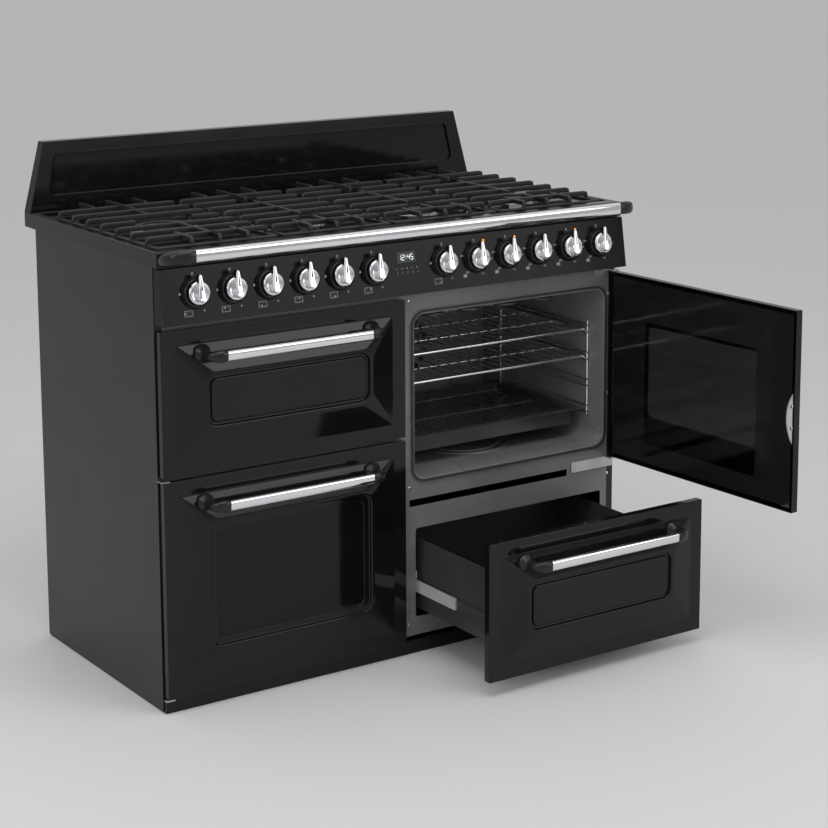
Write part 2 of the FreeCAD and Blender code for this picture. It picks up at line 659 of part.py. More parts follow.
right_mid = (column_cavity[0] + column_cavity[1]) / 2
fan_z = (right_oven[0] + right_oven[1]) / 2
fan_wall = frame_y + oven_depth
shaft_radius = 4.0
fan_hole = rod(shaft_radius + 2, (right_mid, fan_wall - 5, fan_z), (right_mid, fan_wall + 5, fan_z))
ring_y = frame_y + oven_depth * 0.42
floor_rings = [
    Part.makeTorus(r, 2.2, Vector(right_mid, ring_y, right_oven[0])).common(
        box(0, half, frame_y, back_y, right_oven[0], right_oven[0] + 5)) for r in (78, 100)
]
save("cavity_right", fuse([liner(column_cavity, right_oven, oven_depth).cut(fan_hole)] + floor_rings))
save("cavity_upper_left", liner(left_cavity, upper_oven, upper_oven_depth))
save("cavity_lower_left", liner(left_cavity, lower_oven, oven_depth))
save("oven_seals", seal(column_cavity, right_oven), seal(left_cavity, upper_oven),
     seal(left_cavity, lower_oven))

# Side racks and shelves. A shelf's side wire rides on a pair of rack rails.
wire = 2.5                   # radii of the rack's, the lattice's and the shelf frame's wires
thin_wire = 1.5
shelf_wire = 3.0
rack_in = 3.0                # uprights, rails and shelf sides in from the oven's side wall
rail_in = 7.0
shelf_in = 9.5
shelf_rise = math.sqrt((wire + shelf_wire) ** 2 - (shelf_in - rail_in) ** 2) + 0.35
rack_front = frame_y + 50
rack_rear = frame_y + 370
shelf_front = frame_y + 55
shelf_rear = frame_y + 385
guard_rise = 14.0


def ladder(wall, inward, levels, top, bottom):
    """Two uprights on an oven's side wall, with a bearing rail and a guard rail at each shelf level."""
    x_up, x_rail = wall + inward * rack_in, wall + inward * rail_in
    wires = [rod(wire, (x_up, y, bottom), (x_up, y, top)) for y in (rack_front, rack_rear)]
    for z in levels:
        for level in (z, z + guard_rise):
            wires += [rod(wire, (x_rail, rack_front - 6, level), (x_rail, rack_rear + 6, level))]
    return fuse(wires)


def wire_shelf(side, z, count):
    """A wire shelf: a bent frame, its lattice of thin wires and a raised stop wire at the back."""
    x0, x1 = side[0] + shelf_in, side[1] - shelf_in
    wires = [rod(shelf_wire, (x, shelf_front, z), (x, shelf_rear, z)) for x in (x0, x1)]
    wires += [rod(shelf_wire, (x0, y, z), (x1, y, z)) for y in (shelf_front, shelf_rear)]
    wires += [Part.makeSphere(shelf_wire, Vector(x, y, z))
              for x in (x0, x1) for y in (shelf_front, shelf_rear)]
    wires += [rod(2.0, (x0, y, z - 1.5), (x1, y, z - 1.5)) for y in (shelf_front + 110, shelf_front + 220)]
    pitch = (x1 - x0) / (count + 1)
    for k in range(count):
        x = x0 + pitch * (k + 1)
        wires += [rod(thin_wire, (x, shelf_front, z + 1.2), (x, shelf_rear, z + 1.2))]
    return fuse(wires)


right_levels = [432.0, 490.0, 549.0, 609.0]
lower_levels = [125.0, 185.0, 245.0, 300.0, 360.0]
upper_levels = [560.0, 620.0]
racks = []
for side, levels in ((column_cavity, right_levels), (left_cavity, lower_levels), (left_cavity, upper_levels)):
    low, high = levels[0] - 8, levels[-1] + guard_rise + 10
    racks += [ladder(side[0], 1, levels, high, low), ladder(side[1], -1, levels, high, low)]
left_shelves = [wire_shelf(left_cavity, z + shelf_rise, 11)
                for z in (lower_levels[1], lower_levels[3], upper_levels[0])]
save("oven_racks", *racks, *left_shelves)
save("right_shelf_lower", wire_shelf(column_cavity, right_levels[2] + shelf_rise, 17))
save("right_shelf_upper", wire_shelf(column_cavity, right_levels[3] + shelf_rise, 17))

# Roasting tray hung by its rim on the lowest rails, with a slotted insert standing in it.
tray_x = (column_cavity[0] + shelf_in - 2, column_cavity[1] - shelf_in + 2)
tray_y = (shelf_front + 5, shelf_rear - 10)
tray_rim_z = right_levels[0] + wire + 0.3
tray_deep = 34.0
tray_rim = 14.0
rim = rounded_block(tray_x[0], tray_x[1], 0, sheet, tray_y[0], tray_y[1], 12)
bowl = rounded_block(tray_x[0] + tray_rim, tray_x[1] - tray_rim, 0, tray_deep, tray_y[0] + tray_rim,
                     tray_y[1] - tray_rim, 12)
hollow = rounded_block(tray_x[0] + tray_rim + sheet, tray_x[1] - tray_rim - sheet, -5, tray_deep - sheet,
                       tray_y[0] + tray_rim + sheet, tray_y[1] - tray_rim - sheet, 12 - sheet)
tray = rim.fuse(bowl).cut(hollow)
tray.rotate(Vector(0, 0, 0), Vector(1, 0, 0), -90)
tray.translate(Vector(0, 0, tray_rim_z + sheet))
save("roasting_tray", tray)

insert_x = (tray_x[0] + tray_rim + 6, tray_x[1] - tray_rim - 6)
insert_y = (tray_y[0] + tray_rim + 8, tray_y[1] - tray_rim - 8)
insert_top = tray_rim_z - 10
insert_bar = 2.4
insert_pitch = 12.0
tray_floor = tray_rim_z + sheet - tray_deep + sheet
plate = box(*insert_x, *insert_y, insert_top - insert_bar, insert_top)
slot_count = int((insert_x[1] - insert_x[0] - insert_bar) / insert_pitch)
slot_pitch = (insert_x[1] - insert_x[0] - insert_bar) / slot_count
middle_y = (insert_y[0] + insert_y[1]) / 2
insert_cuts = [
    box(insert_x[0] + insert_bar + slot_pitch * k, insert_x[0] + slot_pitch * (k + 1), y0, y1,
        insert_top - insert_bar - 1, insert_top + 1)
    for k in range(slot_count)
    for y0, y1 in ((insert_y[0] + 4, middle_y - 2), (middle_y + 2, insert_y[1] - 4))
]
insert_legs = [box(x, x + 4, y, y + 4, tray_floor, insert_top - insert_bar)
               for x in (insert_x[0], insert_x[1] - 4) for y in (insert_y[0], insert_y[1] - 4)]
save("tray_insert", fuse([plate.cut(Part.makeCompound(insert_cuts))] + insert_legs))


# Grill elements: a bent tube under the roof of the right and the upper left oven.
def grill_element(side, roof, wall_y):
    tube_r, runs = 3.5, 4
    x_mid, span = (side[0] + side[1]) / 2, 330.0
    y_low, y_high, z = frame_y + 90, wall_y - 70, roof - 22
    step = span / (2 * runs - 1)
    bend = step / 2
    edges, x = [], x_mid - span / 2
    start = Vector(x, wall_y, z)
    for k in range(2 * runs):
        end = Vector(x, y_low if k % 2 == 0 else y_high, z)
        end = Vector(x, wall_y, z) if k == 2 * runs - 1 else end
        edges.append(Part.LineSegment(start, end).toShape())
        if k == 2 * runs - 1:
            break
        way = -1 if k % 2 == 0 else 1
        middle, start = Vector(x + bend, end.y + way * bend, z), Vector(x + step, end.y, z)
        edges.append(Part.Arc(end, middle, start).toShape())
        x += step
    path = Part.Wire(edges)
    first = path.Edges[0]
    circle = Part.makeCircle(tube_r, first.valueAt(first.FirstParameter), Vector(0, 1, 0))
    return path.makePipe(Part.Face(Part.Wire([circle])))


save("heating_elements", grill_element(column_cavity, right_oven[1], fan_wall),
     grill_element(left_cavity, upper_oven[1], frame_y + upper_oven_depth))

# Convection fan in the right oven's rear wall, its slotted cover and its motor behind the wall.
cover_half = (125.0, 115.0)
cover_front = fan_wall - 30
fan_radius = 70.0
cover = rounded_block(right_mid - cover_half[0], right_mid + cover_half[0], cover_front, fan_wall,
                      fan_z - cover_half[1], fan_z + cover_half[1], 20)
cover_space = rounded_block(right_mid - cover_half[0] + press, right_mid + cover_half[0] - press,
                            cover_front + press, fan_wall + 1, fan_z - cover_half[1] + press,
                            fan_z + cover_half[1] - press, 18)
cover_holes = []
for ring_r, count, hole_r in ((22.0, 8, 5.0), (42.0, 14, 6.0), (62.0, 20, 6.0)):
    for k in range(count):
        a = 2 * math.pi * k / count
        x, z = right_mid + ring_r * math.cos(a), fan_z + ring_r * math.sin(a)
        cover_holes += [rod(hole_r, (x, cover_front - 1, z), (x, cover_front + 5, z))]
motor = rod(34, (right_mid, fan_wall + sheet, fan_z), (right_mid, fan_wall + 48, fan_z))
motor = motor.cut(rod(shaft_radius + pin_clearance, (right_mid, fan_wall, fan_z),
                      (right_mid, fan_wall + 30, fan_z)))
save("fan_housing", cover.cut(cover_space).cut(Part.makeCompound(cover_holes)), motor)

hub = rod(12, (right_mid, fan_wall - 24, fan_z), (right_mid, fan_wall - 8, fan_z))
disc = rod(fan_radius, (right_mid, fan_wall - 8, fan_z), (right_mid, fan_wall - 6, fan_z))
blades = []
for k in range(12):
    blade = box(fan_radius - 26, fan_radius - 1, fan_wall - 22, fan_wall - 7, -0.8, 0.8)
    blade.rotate(Vector(0, 0, 0), Vector(0, 1, 0), 30.0 * k)
    blade.translate(Vector(right_mid, 0, fan_z))
    blades.append(blade)
shaft = rod(shaft_radius, (right_mid, fan_wall - 20, fan_z), (right_mid, fan_wall + 26, fan_z))
save("convection_fan", fuse([hub, disc, shaft] + blades))


# ---- doors ---------------------------------------------------------------------------------------------
def pressed_front(x0, x1, z0, z1, window):
    """The body that a pressed front fills, and its sheet skin with the sunk middle panel or window."""
    ox0, ox1, oz0, oz1 = x0 + border, x1 - border, z0 + border, z1 - border
    ix0, ix1, iz0, iz1 = ox0 + slope, ox1 - slope, oz0 + slope, oz1 - slope
    slopes = Part.makeLoft([
        rounded_wire(ox0, ox1, oz0, oz1, 4, front_y),
        rounded_wire(ix0, ix1, iz0, iz1, rim_corner, front_y - slope_rise),
    ], True, True)
    body = box(x0, x1, front_y, door_back, z0, z1).fuse(slopes)
    behind = slopes.copy()
    behind.translate(Vector(0, press, 0))
    space = box(x0 + press, x1 - press, front_y + press, door_back + 1, z0 + press, z1 - press).fuse(behind)
    lip, rise = cup_lip, front_y - slope_rise
    cup = (ix0 + lip, ix1 - lip, iz0 + lip, iz1 - lip, rim_corner - lip)
    cx0, cx1, cz0, cz1, cr = cup
    floor_y = rise + cup_depth
    shell = body.cut(space)
    shell = shell.fuse(rounded_block(cx0 - press, cx1 + press, rise, floor_y + press, cz0 - press,
                                     cz1 + press, cr + press))
    shell = shell.cut(rounded_block(cx0, cx1, rise - 1, floor_y, cz0, cz1, cr))
    if not window:
        for y, out in ((rise + panel_sink, 0.0), (rise + panel_sink + press, press)):
            g = groove + out
            island = rounded_block(cx0 + g, cx1 - g, y, floor_y + press + out, cz0 + g, cz1 - g,
                                   cr - groove - out / 2)
            shell = shell.cut(island) if out else shell.fuse(island)
    if window:
        g = window_ledge
        shell = shell.cut(rounded_block(cx0 + g, cx1 - g, rise - 1, floor_y + 9, cz0 + g, cz1 - g, cr - 4))
    return body, shell, cup, floor_y + press


def door_handle(x0, x1, top, body):
    """A bar between two curved end castings, whose round feet stand on the pressed slope."""
    middle, z, y = (x0 + x1) / 2, top - handle_drop, front_y - handle_standoff
    bar = oval_bar(middle - handle_half, middle + handle_half, y, z, handle_size)
    ends = []
    for s in (-1, 1):
        foot = rod(foot_radius, (middle + s * handle_foot, front_y - slope_rise + 1, z),
                   (middle + s * handle_foot, front_y, z))
        arm = horn(middle + s * handle_half, middle + s * handle_foot, y, front_y - slope_rise + 2, z,
                   handle_size, foot_radius)
        ends.append(arm.fuse(foot).cut(body))
    return [bar] + ends


def panes(x0, x1, z0, z1, cup, ledge_back, free_x, away):
    """The window pane behind its ledge, and the inner pane with a scoop in its free edge."""
    cx0, cx1, cz0, cz1, cr = cup
    outer = rounded_block(cx0, cx1, ledge_back, ledge_back + pane, cz0, cz1, cr)
    inner = rounded_block(x0 + pane_inset, x1 - pane_inset, door_back - 1 - pane, door_back - 1,
                          z0 + pane_inset, z1 - pane_inset, 4)
    scoop_radius = ((latch_height / 2) ** 2 + latch_scoop ** 2) / (2 * latch_scoop)
    scoop_x = free_x - away * pane_inset + away * (scoop_radius - latch_scoop)
    scoop_z = (z0 + z1) / 2 - latch_below
    scoop = rod(scoop_radius, (scoop_x, front_y, scoop_z), (scoop_x, door_back + 5, scoop_z))
    return [outer, inner.cut(scoop)]


def side_hinged(x0, x1, z0, z1, pin_x):
    """A side-opening glazed door: its skin, panes and handle."""
    body, skin, cup, ledge_back = pressed_front(x0, x1, z0, z1, True)
    inward = -1 if pin_x > (x0 + x1) / 2 else 1
    span = sorted((pin_x - inward * (hinge_inset - 1), pin_x + inward * 10))
    blocks = [box(span[0], span[1], front_y + 1, door_back, a, b)
              for a, b in ((z0 + 1, z0 + pane_inset - 0.5), (z1 - pane_inset + 0.5, z1 - 1))]
    free_x, away = (x0, -1) if inward < 0 else (x1, 1)
    catch_z = (z0 + z1) / 2 - latch_below
    plate_x = sorted((free_x - away * press, free_x - away * border))
    blocks += [box(plate_x[0], plate_x[1], front_y + 1, door_back - 1 - pane, catch_z - latch_height / 2 - 6,
                   catch_z + latch_height / 2 + 6)]
    bore = rod(pin_radius + pin_clearance, (pin_x, hinge_y, z0 - 1), (pin_x, hinge_y, z1 + 1))
    skin = fuse([skin] + blocks).cut(bore)
    return skin, panes(x0, x1, z0, z1, cup, ledge_back, free_x, away), door_handle(x0, x1, z1, body)


def swung(shapes, angle):
    """Shapes of the right door, turned open about its hinge pins."""
    turned = []
    for shape in shapes:
        t = shape.copy()
        t.rotate(Vector(hinge_x, hinge_y, 0), Vector(0, 0, 1), angle)
        turned.append(t)
    return turned


skin, glass, grip = side_hinged(door_inner, door_outer, right_door_bottom, door_top, hinge_x)
save("right_door_skin", *swung([skin], door_open_angle))
save("right_door_glass", *swung(glass, door_open_angle))
save("right_door_handle", *swung(grip, door_open_angle))

skin, glass, grip = side_hinged(-door_outer, -door_inner, door_bottom, lower_door_top, -hinge_x)
save("lower_door_skin", skin)
save("lower_door_glass", *glass)
save("lower_door_handle", *grip)

# Upper left door: drops down about two pins near its bottom edge. Its skin is notched for the hinge arms.
arm_thick = 3.0
arm_radius = 5.0
arm_x = [-door_outer + drop_arm_inset, -door_inner - drop_arm_inset - arm_thick]
body, skin, cup, floor_back = pressed_front(-door_outer, -door_inner, upper_door_bottom, door_top, False)
notches = [box(x - 1.5, x + arm_thick + 1.5, front_y + press, door_back + 1, upper_door_bottom - 1,
               upper_door_bottom + press + 1) for x in arm_x]
save("upper_door_skin", skin.cut(Part.makeCompound(notches)))
save("upper_door_handle", *door_handle(-door_outer, -door_inner, door_top, body))

inner_bottom = drop_hinge_z + 12
inner_panel = box(-door_outer + press, -door_inner - press, door_back - 1 - sheet, door_back - 1,
                  inner_bottom, door_top - press)
block_spans = [(-door_outer + press, arm_x[0] - 1.2), (arm_x[1] + arm_thick + 1.2, -door_inner - press)]
hinge_blocks = [box(a, b, front_y + press + 0.2, door_back - 1, upper_door_bottom + press, inner_bottom + 2)
                for a, b in block_spans]
drop_bore = rod(pin_radius + pin_clearance, (-half, hinge_y, drop_hinge_z), (0, hinge_y, drop_hinge_z))
save("upper_door_inner", fuse([inner_panel] + hinge_blocks).cut(drop_bore))


# Hinge brackets on the carcass, each with its pin.
def side_bracket(x, plate_z, pin_z, back):
    """A steel plate standing out from the carcass over or under a door's edge, with the pin on it."""
    plate = box(x - 10, x + 8, hinge_y - 7, back, *plate_z)
    return fuse([plate, rod(pin_radius, (x, hinge_y, pin_z[0]), (x, hinge_y, pin_z[1]))])


pin_reach = 6.0
low_z, high_z = right_door_bottom, door_top
wall_plate = (frame_y - 2.5, frame_y)
right_low = fuse([
    side_bracket(hinge_x, (low_z - 4, low_z - 1), (low_z - 3, low_z + pin_reach), frame_y),
    box(hinge_x - 106, hinge_x + 8, *wall_plate, low_z - 24, low_z - 1),
])
right_high = fuse([
    side_bracket(hinge_x, (high_z + 1, high_z + 4), (high_z - pin_reach, high_z + 3), frame_y),
    box(hinge_x - 50, hinge_x - 12, *wall_plate, high_z - 8, high_z + 4),
    box(hinge_x - 50, hinge_x + 8, *wall_plate, high_z + 1, high_z + 4),
])
left_low = side_bracket(-hinge_x, (door_bottom - 4, door_bottom - 1),
                        (door_bottom - 2, door_bottom + pin_reach), plinth_y)
left_high = side_bracket(-hinge_x, (lower_door_top + 0.4, lower_door_top + 1.9),
                         (lower_door_top - pin_reach, lower_door_top + 1.5), frame_y)
drop_brackets = []
for x, outward in zip(arm_x, (-1, 1)):
    arm = box(x, x + arm_thick, hinge_y, frame_y, drop_hinge_z - arm_radius, drop_hinge_z + arm_radius)
    eye = rod(arm_radius, (x, hinge_y, drop_hinge_z), (x + arm_thick, hinge_y, drop_hinge_z))
    root = x if outward < 0 else x + arm_thick
    pin = rod(pin_radius, (root - outward, hinge_y, drop_hinge_z),
              (root + outward * 18, hinge_y, drop_hinge_z))
    drop_brackets.append(fuse([arm, eye, pin]))
save("hinge_brackets", right_low, right_high, left_low, left_high, *drop_brackets)

# ---- drawer --------------------------------------------------------------------------------------------
runner_gap = 0.4             # between the members of the drawer's runners
runner_z = (118.0, 158.0)
fixed_member = (0.8, 3.0)    # inset from the drawer hole and thickness
middle_member = 4.4
moving_member = 4.0
middle_inset = sum(fixed_member) + runner_gap
moving_inset = middle_inset + middle_member + runner_gap
box_inset = moving_inset + moving_member
drawer_box_x = (drawer_hole[0] + box_inset, drawer_hole[1] - box_inset)
drawer_box_z = (88.0, 238.0)
drawer_length = 420.0
runner_length = 400.0


def pulled(shape, share=1.0):
    moved = shape.copy()
    moved.translate(Vector(0, -drawer_open * share, 0))
    return moved


drawer_x = (door_inner + 1, door_outer - 1)
body, skin, cup, floor_back = pressed_front(*drawer_x, door_bottom, drawer_top, False)
save("drawer_front", pulled(skin))
save("drawer_handle", *[pulled(s) for s in door_handle(*drawer_x, drawer_top, body)])

tub = box(*drawer_box_x, door_back, door_back + drawer_length, *drawer_box_z)
tub_space = box(drawer_box_x[0] + sheet, drawer_box_x[1] - sheet, door_back + sheet,
                door_back + drawer_length - sheet, drawer_box_z[0] + sheet, drawer_box_z[1] + 1)
drawer_liner = box(drawer_x[0] + press, drawer_x[1] - press, door_back - sheet, door_back,
                   door_bottom + press, drawer_top - press)


def runner(inset, thick, y0, z_in):
    """A pair of runner members, as straight steel sections either side of the drawer."""
    left = box(drawer_hole[0] + inset, drawer_hole[0] + inset + thick, y0, y0 + runner_length,
               runner_z[0] + z_in, runner_z[1] - z_in)
    x_mid = (drawer_hole[0] + drawer_hole[1]) / 2
    return [left, left.mirror(Vector(x_mid, 0, 0), Vector(1, 0, 0))]


moving = runner(moving_inset, moving_member, frame_y + 6, 12.0)
save("drawer_box", pulled(fuse([tub.cut(tub_space), drawer_liner] + moving)))
middle = runner(middle_inset, middle_member, frame_y + 6, 8.0)
save("drawer_runners_middle", *[pulled(s, 0.5) for s in middle])
channels = runner(*fixed_member, frame_y + 6, 0.0)
hangers = [box(s.BoundBox.XMin, s.BoundBox.XMax, frame_y + sheet, back_y - 2 * sheet, runner_z[1] - 2,
               runner_z[1] + 14) for s in channels]
save("drawer_runners_fixed", *[fuse([a, b]) for a, b in zip(channels, hangers)])
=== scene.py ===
"""The looks of a free-standing range cooker, 110 cm wide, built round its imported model.

X runs to the right as seen from the front, Y to the back and Z up, from the middle of the footprint
on the floor. Each section gives its sizes in millimetres and builds its meshes in them; add_piece
and grown turn them to metres.
"""
import json
import math

import bmesh
import bpy
from mathutils import Matrix, Vector


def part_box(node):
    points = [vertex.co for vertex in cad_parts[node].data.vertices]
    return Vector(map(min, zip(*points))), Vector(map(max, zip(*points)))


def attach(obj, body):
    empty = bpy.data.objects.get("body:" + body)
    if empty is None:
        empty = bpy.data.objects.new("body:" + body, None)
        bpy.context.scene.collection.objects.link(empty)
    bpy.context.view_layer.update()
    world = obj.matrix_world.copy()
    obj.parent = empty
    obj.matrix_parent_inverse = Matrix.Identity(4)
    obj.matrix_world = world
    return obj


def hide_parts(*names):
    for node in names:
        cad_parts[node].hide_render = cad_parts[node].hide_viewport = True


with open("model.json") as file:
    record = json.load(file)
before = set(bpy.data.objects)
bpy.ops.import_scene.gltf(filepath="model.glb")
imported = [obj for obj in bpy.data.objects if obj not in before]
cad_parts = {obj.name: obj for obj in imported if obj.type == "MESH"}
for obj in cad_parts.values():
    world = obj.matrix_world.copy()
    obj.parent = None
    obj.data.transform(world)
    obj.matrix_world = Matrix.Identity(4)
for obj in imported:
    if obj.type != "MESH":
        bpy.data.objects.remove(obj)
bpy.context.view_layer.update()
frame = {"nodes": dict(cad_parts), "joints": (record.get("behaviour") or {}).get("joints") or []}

# ---- Studio --------------------------------------------------------------------------------------
# A pale painted floor under a pale sky, three softboxes on stands, and a camera at the photograph's
# own viewpoint: to the left of the cooker's middle, and looking down on its worktop.
picture_pixels = 828
focal_pixels = 2125.0
sensor_mm = 36.0
look_down = 9.93             # degrees below level
look_right = 35.0            # degrees from straight on


def add_object(name, data):
    """A mesh, lamp or camera stood in the scene."""
    made = bpy.data.objects.new(name, data)
    bpy.context.scene.collection.objects.link(made)
    return made


camera_data = bpy.data.cameras.new("camera")
camera_data.sensor_width = sensor_mm
camera_data.lens = focal_pixels * sensor_mm / picture_pixels
camera_data.shift_x = -0.06
camera_data.shift_y = -0.20
camera = add_object("camera", camera_data)
camera.location = (-2.295, -3.777, 1.583)
camera.rotation_euler = (math.radians(90.0 - look_down), 0.0, math.radians(-look_right))
bpy.context.scene.camera = camera
bpy.context.scene.view_settings.view_transform = "Standard"


def add_node(tree, kind, inputs=(), **settings):
    """A node of a tree, its inputs given as values or as sockets to link from."""
    made = tree.nodes.new(kind)
    for key, value in settings.items():
        setattr(made, key, value)
    for key, value in dict(inputs).items():
        if isinstance(value, bpy.types.NodeSocket):
            tree.links.new(value, made.inputs[key])
        else:
            made.inputs[key].default_value = value
    return made


def mix_colours(tree, share, first, second):
    """The colour that lies a share of the way from the first to the second."""
    mixer = add_node(tree, "ShaderNodeMix", {"Factor": share, 6: first, 7: second},
                     data_type="RGBA")
    return mixer.outputs[2]


def studio_sky(horizon, zenith, room_light):
    """The room: pale overhead, greyer at eye level, and an even light from all round."""
    world = bpy.data.worlds.new("studio")
    world.use_nodes = True
    tree = world.node_tree
    tree.nodes.clear()
    direction = add_node(tree, "ShaderNodeTexCoord").outputs["Generated"]
    height = add_node(tree, "ShaderNodeSeparateXYZ", {0: direction}).outputs["Z"]
    share = add_node(tree, "ShaderNodeMapRange", {
        "Value": height, "From Min": 0.02, "From Max": 0.7})
    tone = mix_colours(tree, share.outputs[0], horizon, zenith)
    rays = add_node(tree, "ShaderNodeLightPath").outputs
    shown = add_node(tree, "ShaderNodeMath", {0: rays["Is Camera Ray"], 1: rays["Is Glossy Ray"]},
                     operation="MAXIMUM")
    shown = add_node(tree, "ShaderNodeMath", {0: shown.outputs[0], 1: rays["Is Transmission Ray"]},
                     operation="MAXIMUM")
    white = (1.0, 1.0, 1.0, 1.0)
    sky = add_node(tree, "ShaderNodeBackground", {"Color": tone, "Strength": 1.0})
    room = add_node(tree, "ShaderNodeBackground", {"Color": white, "Strength": room_light})
    both = add_node(tree, "ShaderNodeMixShader", {0: shown.outputs[0], 1: room.outputs[0],
                                                  2: sky.outputs[0]})
    add_node(tree, "ShaderNodeOutputWorld", {"Surface": both.outputs[0]})
    bpy.context.scene.world = world


def soft_lamp(name, place, aim, size, power):
    """A softbox at a place, turned to face a point."""
    data = bpy.data.lights.new(name, "AREA")
    data.shape = "RECTANGLE"
    data.size, data.size_y = size
    data.energy = power
    lamp = add_object(name, data)
    lamp.location = place
    lamp.rotation_euler = (Vector(aim) - Vector(place)).to_track_quat("-Z", "Y").to_euler()


def new_material(name):
    """A new material and its shader."""
    material = bpy.data.materials.new(name)
    material.use_nodes = True
    return material, material.node_tree.nodes["Principled BSDF"]


studio_sky(horizon=(0.34, 0.34, 0.35, 1.0), zenith=(0.84, 0.84, 0.85, 1.0), room_light=0.58)
soft_lamp("top_lamp", place=(-0.4, -1.3, 3.1), aim=(0.0, -0.1, 0.6), size=(2.6, 1.6), power=30.0)
soft_lamp("side_lamp", place=(-3.2, -0.8, 2.0), aim=(0.0, 0.0, 0.6), size=(1.2, 1.8), power=16.0)
soft_lamp("front_lamp", place=(2.3, -4.2, 1.75), aim=(0.2, -0.3, 0.7), size=(2.0, 1.7), power=26.0)

floor_reach = 40.0           # metres each way
floor_corners = [(x * floor_reach, y * floor_reach, 0)
                 for x, y in ((-1, -1), (1, -1), (1, 1), (-1, 1))]
floor_mesh = bpy.data.meshes.new("floor")
floor_mesh.from_pydata(floor_corners, [], [(0, 1, 2, 3)])
floor = add_object("floor", floor_mesh)
floor_paint, floor_shader = new_material("floor")
floor_shader.inputs["Base Color"].default_value = (0.74, 0.74, 0.75, 1.0)
floor_shader.inputs["Roughness"].default_value = 0.65
floor_mesh.materials.append(floor_paint)

# ---- Side panels, back panel, base pan and feet --------------------------------------------------
# Folded steel sheet, spot-welded into a box. The sides are painted black with a fine satin grain,
# the back is galvanised, and the base pan and its plinth are black enamel. The levelling feet are
# moulded black plastic, and screw up into the pan.
def surface_group():
    """Shader group: grain, slow smears and fine specks over a surface, each from 0 to 1."""
    tree = bpy.data.node_groups.new("surface", "ShaderNodeTree")
    for name, value in (("Grain scale", 500.0), ("Smear scale", 8.0), ("Speck scale", 900.0)):
        socket = tree.interface.new_socket(name, in_out="INPUT", socket_type="NodeSocketFloat")
        socket.default_value = value
    for name in ("Grain", "Smear", "Specks"):
        tree.interface.new_socket(name, in_out="OUTPUT", socket_type="NodeSocketFloat")
    ports = add_node(tree, "NodeGroupInput").outputs
    where = add_node(tree, "ShaderNodeTexCoord").outputs["Object"]
    grain = add_node(tree, "ShaderNodeTexNoise", {
        "Vector": where, "Scale": ports["Grain scale"], "Detail": 2.0})
    clouds = add_node(tree, "ShaderNodeTexNoise", {
        "Vector": where, "Scale": ports["Smear scale"], "Detail": 5.0, "Roughness": 0.6})
    dots = add_node(tree, "ShaderNodeTexNoise", {
        "Vector": where, "Scale": ports["Speck scale"], "Detail": 1.0})
    specks = add_node(tree, "ShaderNodeMapRange", {
        "Value": dots.outputs[0], "From Min": 0.66, "From Max": 0.74})
    smears = add_node(tree, "ShaderNodeMapRange", {
        "Value": clouds.outputs[0], "From Min": 0.3, "From Max": 0.7})
    results = {"Grain": grain.outputs[0], "Smear": smears.outputs[0], "Specks": specks.outputs[0]}
    add_node(tree, "NodeGroupOutput", results)
    return tree


surface = surface_group()
metre = 1000.0               # in millimetres
speck_gain = 4.0             # specks are this many times as pale as their enamel, and then
speck_lift = 0.06            # this much paler


def finish(name, colour, second, roughness, metallic=0.0, grain=(500.0, 0.01), smear=8.0,
           specks=0.0, specular=0.5):
    """A material: two close colours and two roughnesses that wander over it, and a fine grain.

    The grain is given by its fineness and its height in millimetres, the specks by their strength.
    """
    material, shader = new_material(name)
    tree = material.node_tree
    life = add_node(tree, "ShaderNodeGroup", {"Grain scale": grain[0], "Smear scale": smear},
                    node_tree=surface)
    tint = mix_colours(tree, life.outputs["Smear"], (*colour, 1.0), (*second, 1.0))
    if specks:
        flecks = add_node(tree, "ShaderNodeMath", {0: life.outputs["Specks"], 1: specks},
                          operation="MULTIPLY")
        pale = tuple(min(1.0, part * speck_gain + speck_lift) for part in colour)
        tint = mix_colours(tree, flecks.outputs[0], tint, (*pale, 1.0))
    rough = add_node(tree, "ShaderNodeMapRange", {
        "Value": life.outputs["Smear"], "To Min": roughness[0], "To Max": roughness[1]})
    bump = add_node(tree, "ShaderNodeBump", {
        "Height": life.outputs["Grain"], "Distance": grain[1] / metre, "Strength": 1.0})
    tree.links.new(tint, shader.inputs["Base Color"])
    tree.links.new(rough.outputs[0], shader.inputs["Roughness"])
    tree.links.new(bump.outputs["Normal"], shader.inputs["Normal"])
    shader.inputs["Metallic"].default_value = metallic
    shader.inputs["Specular IOR Level"].default_value = specular
    return material


def refinish(node, material):
    """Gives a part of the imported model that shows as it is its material."""
    part = frame["nodes"][node]
    for slot in part.material_slots:
        slot.material = material
    if not part.material_slots:
        part.data.materials.append(material)


side_paint = finish("side_paint", (0.009, 0.009, 0.010), (0.013, 0.013, 0.014), (0.26, 0.36),
                    grain=(900.0, 0.02), specular=0.35)
galvanised = finish("galvanised", (0.50, 0.51, 0.52), (0.38, 0.39, 0.41), (0.34, 0.5), metallic=0.9,
                    grain=(60.0, 0.02), smear=40.0)
black_enamel = finish("black_enamel", (0.0045, 0.0045, 0.005), (0.007, 0.007, 0.0075), (0.07, 0.11),
                      grain=(160.0, 0.012), specular=0.30)
foot_plastic = finish("foot_plastic", (0.02, 0.02, 0.02), (0.03, 0.03, 0.03), (0.45, 0.6),
                      grain=(1400.0, 0.03))
refinish("side_panels", side_paint)
refinish("back_panel", galvanised)
refinish("base_pan", black_enamel)
refinish("levelling_feet", foot_plastic)

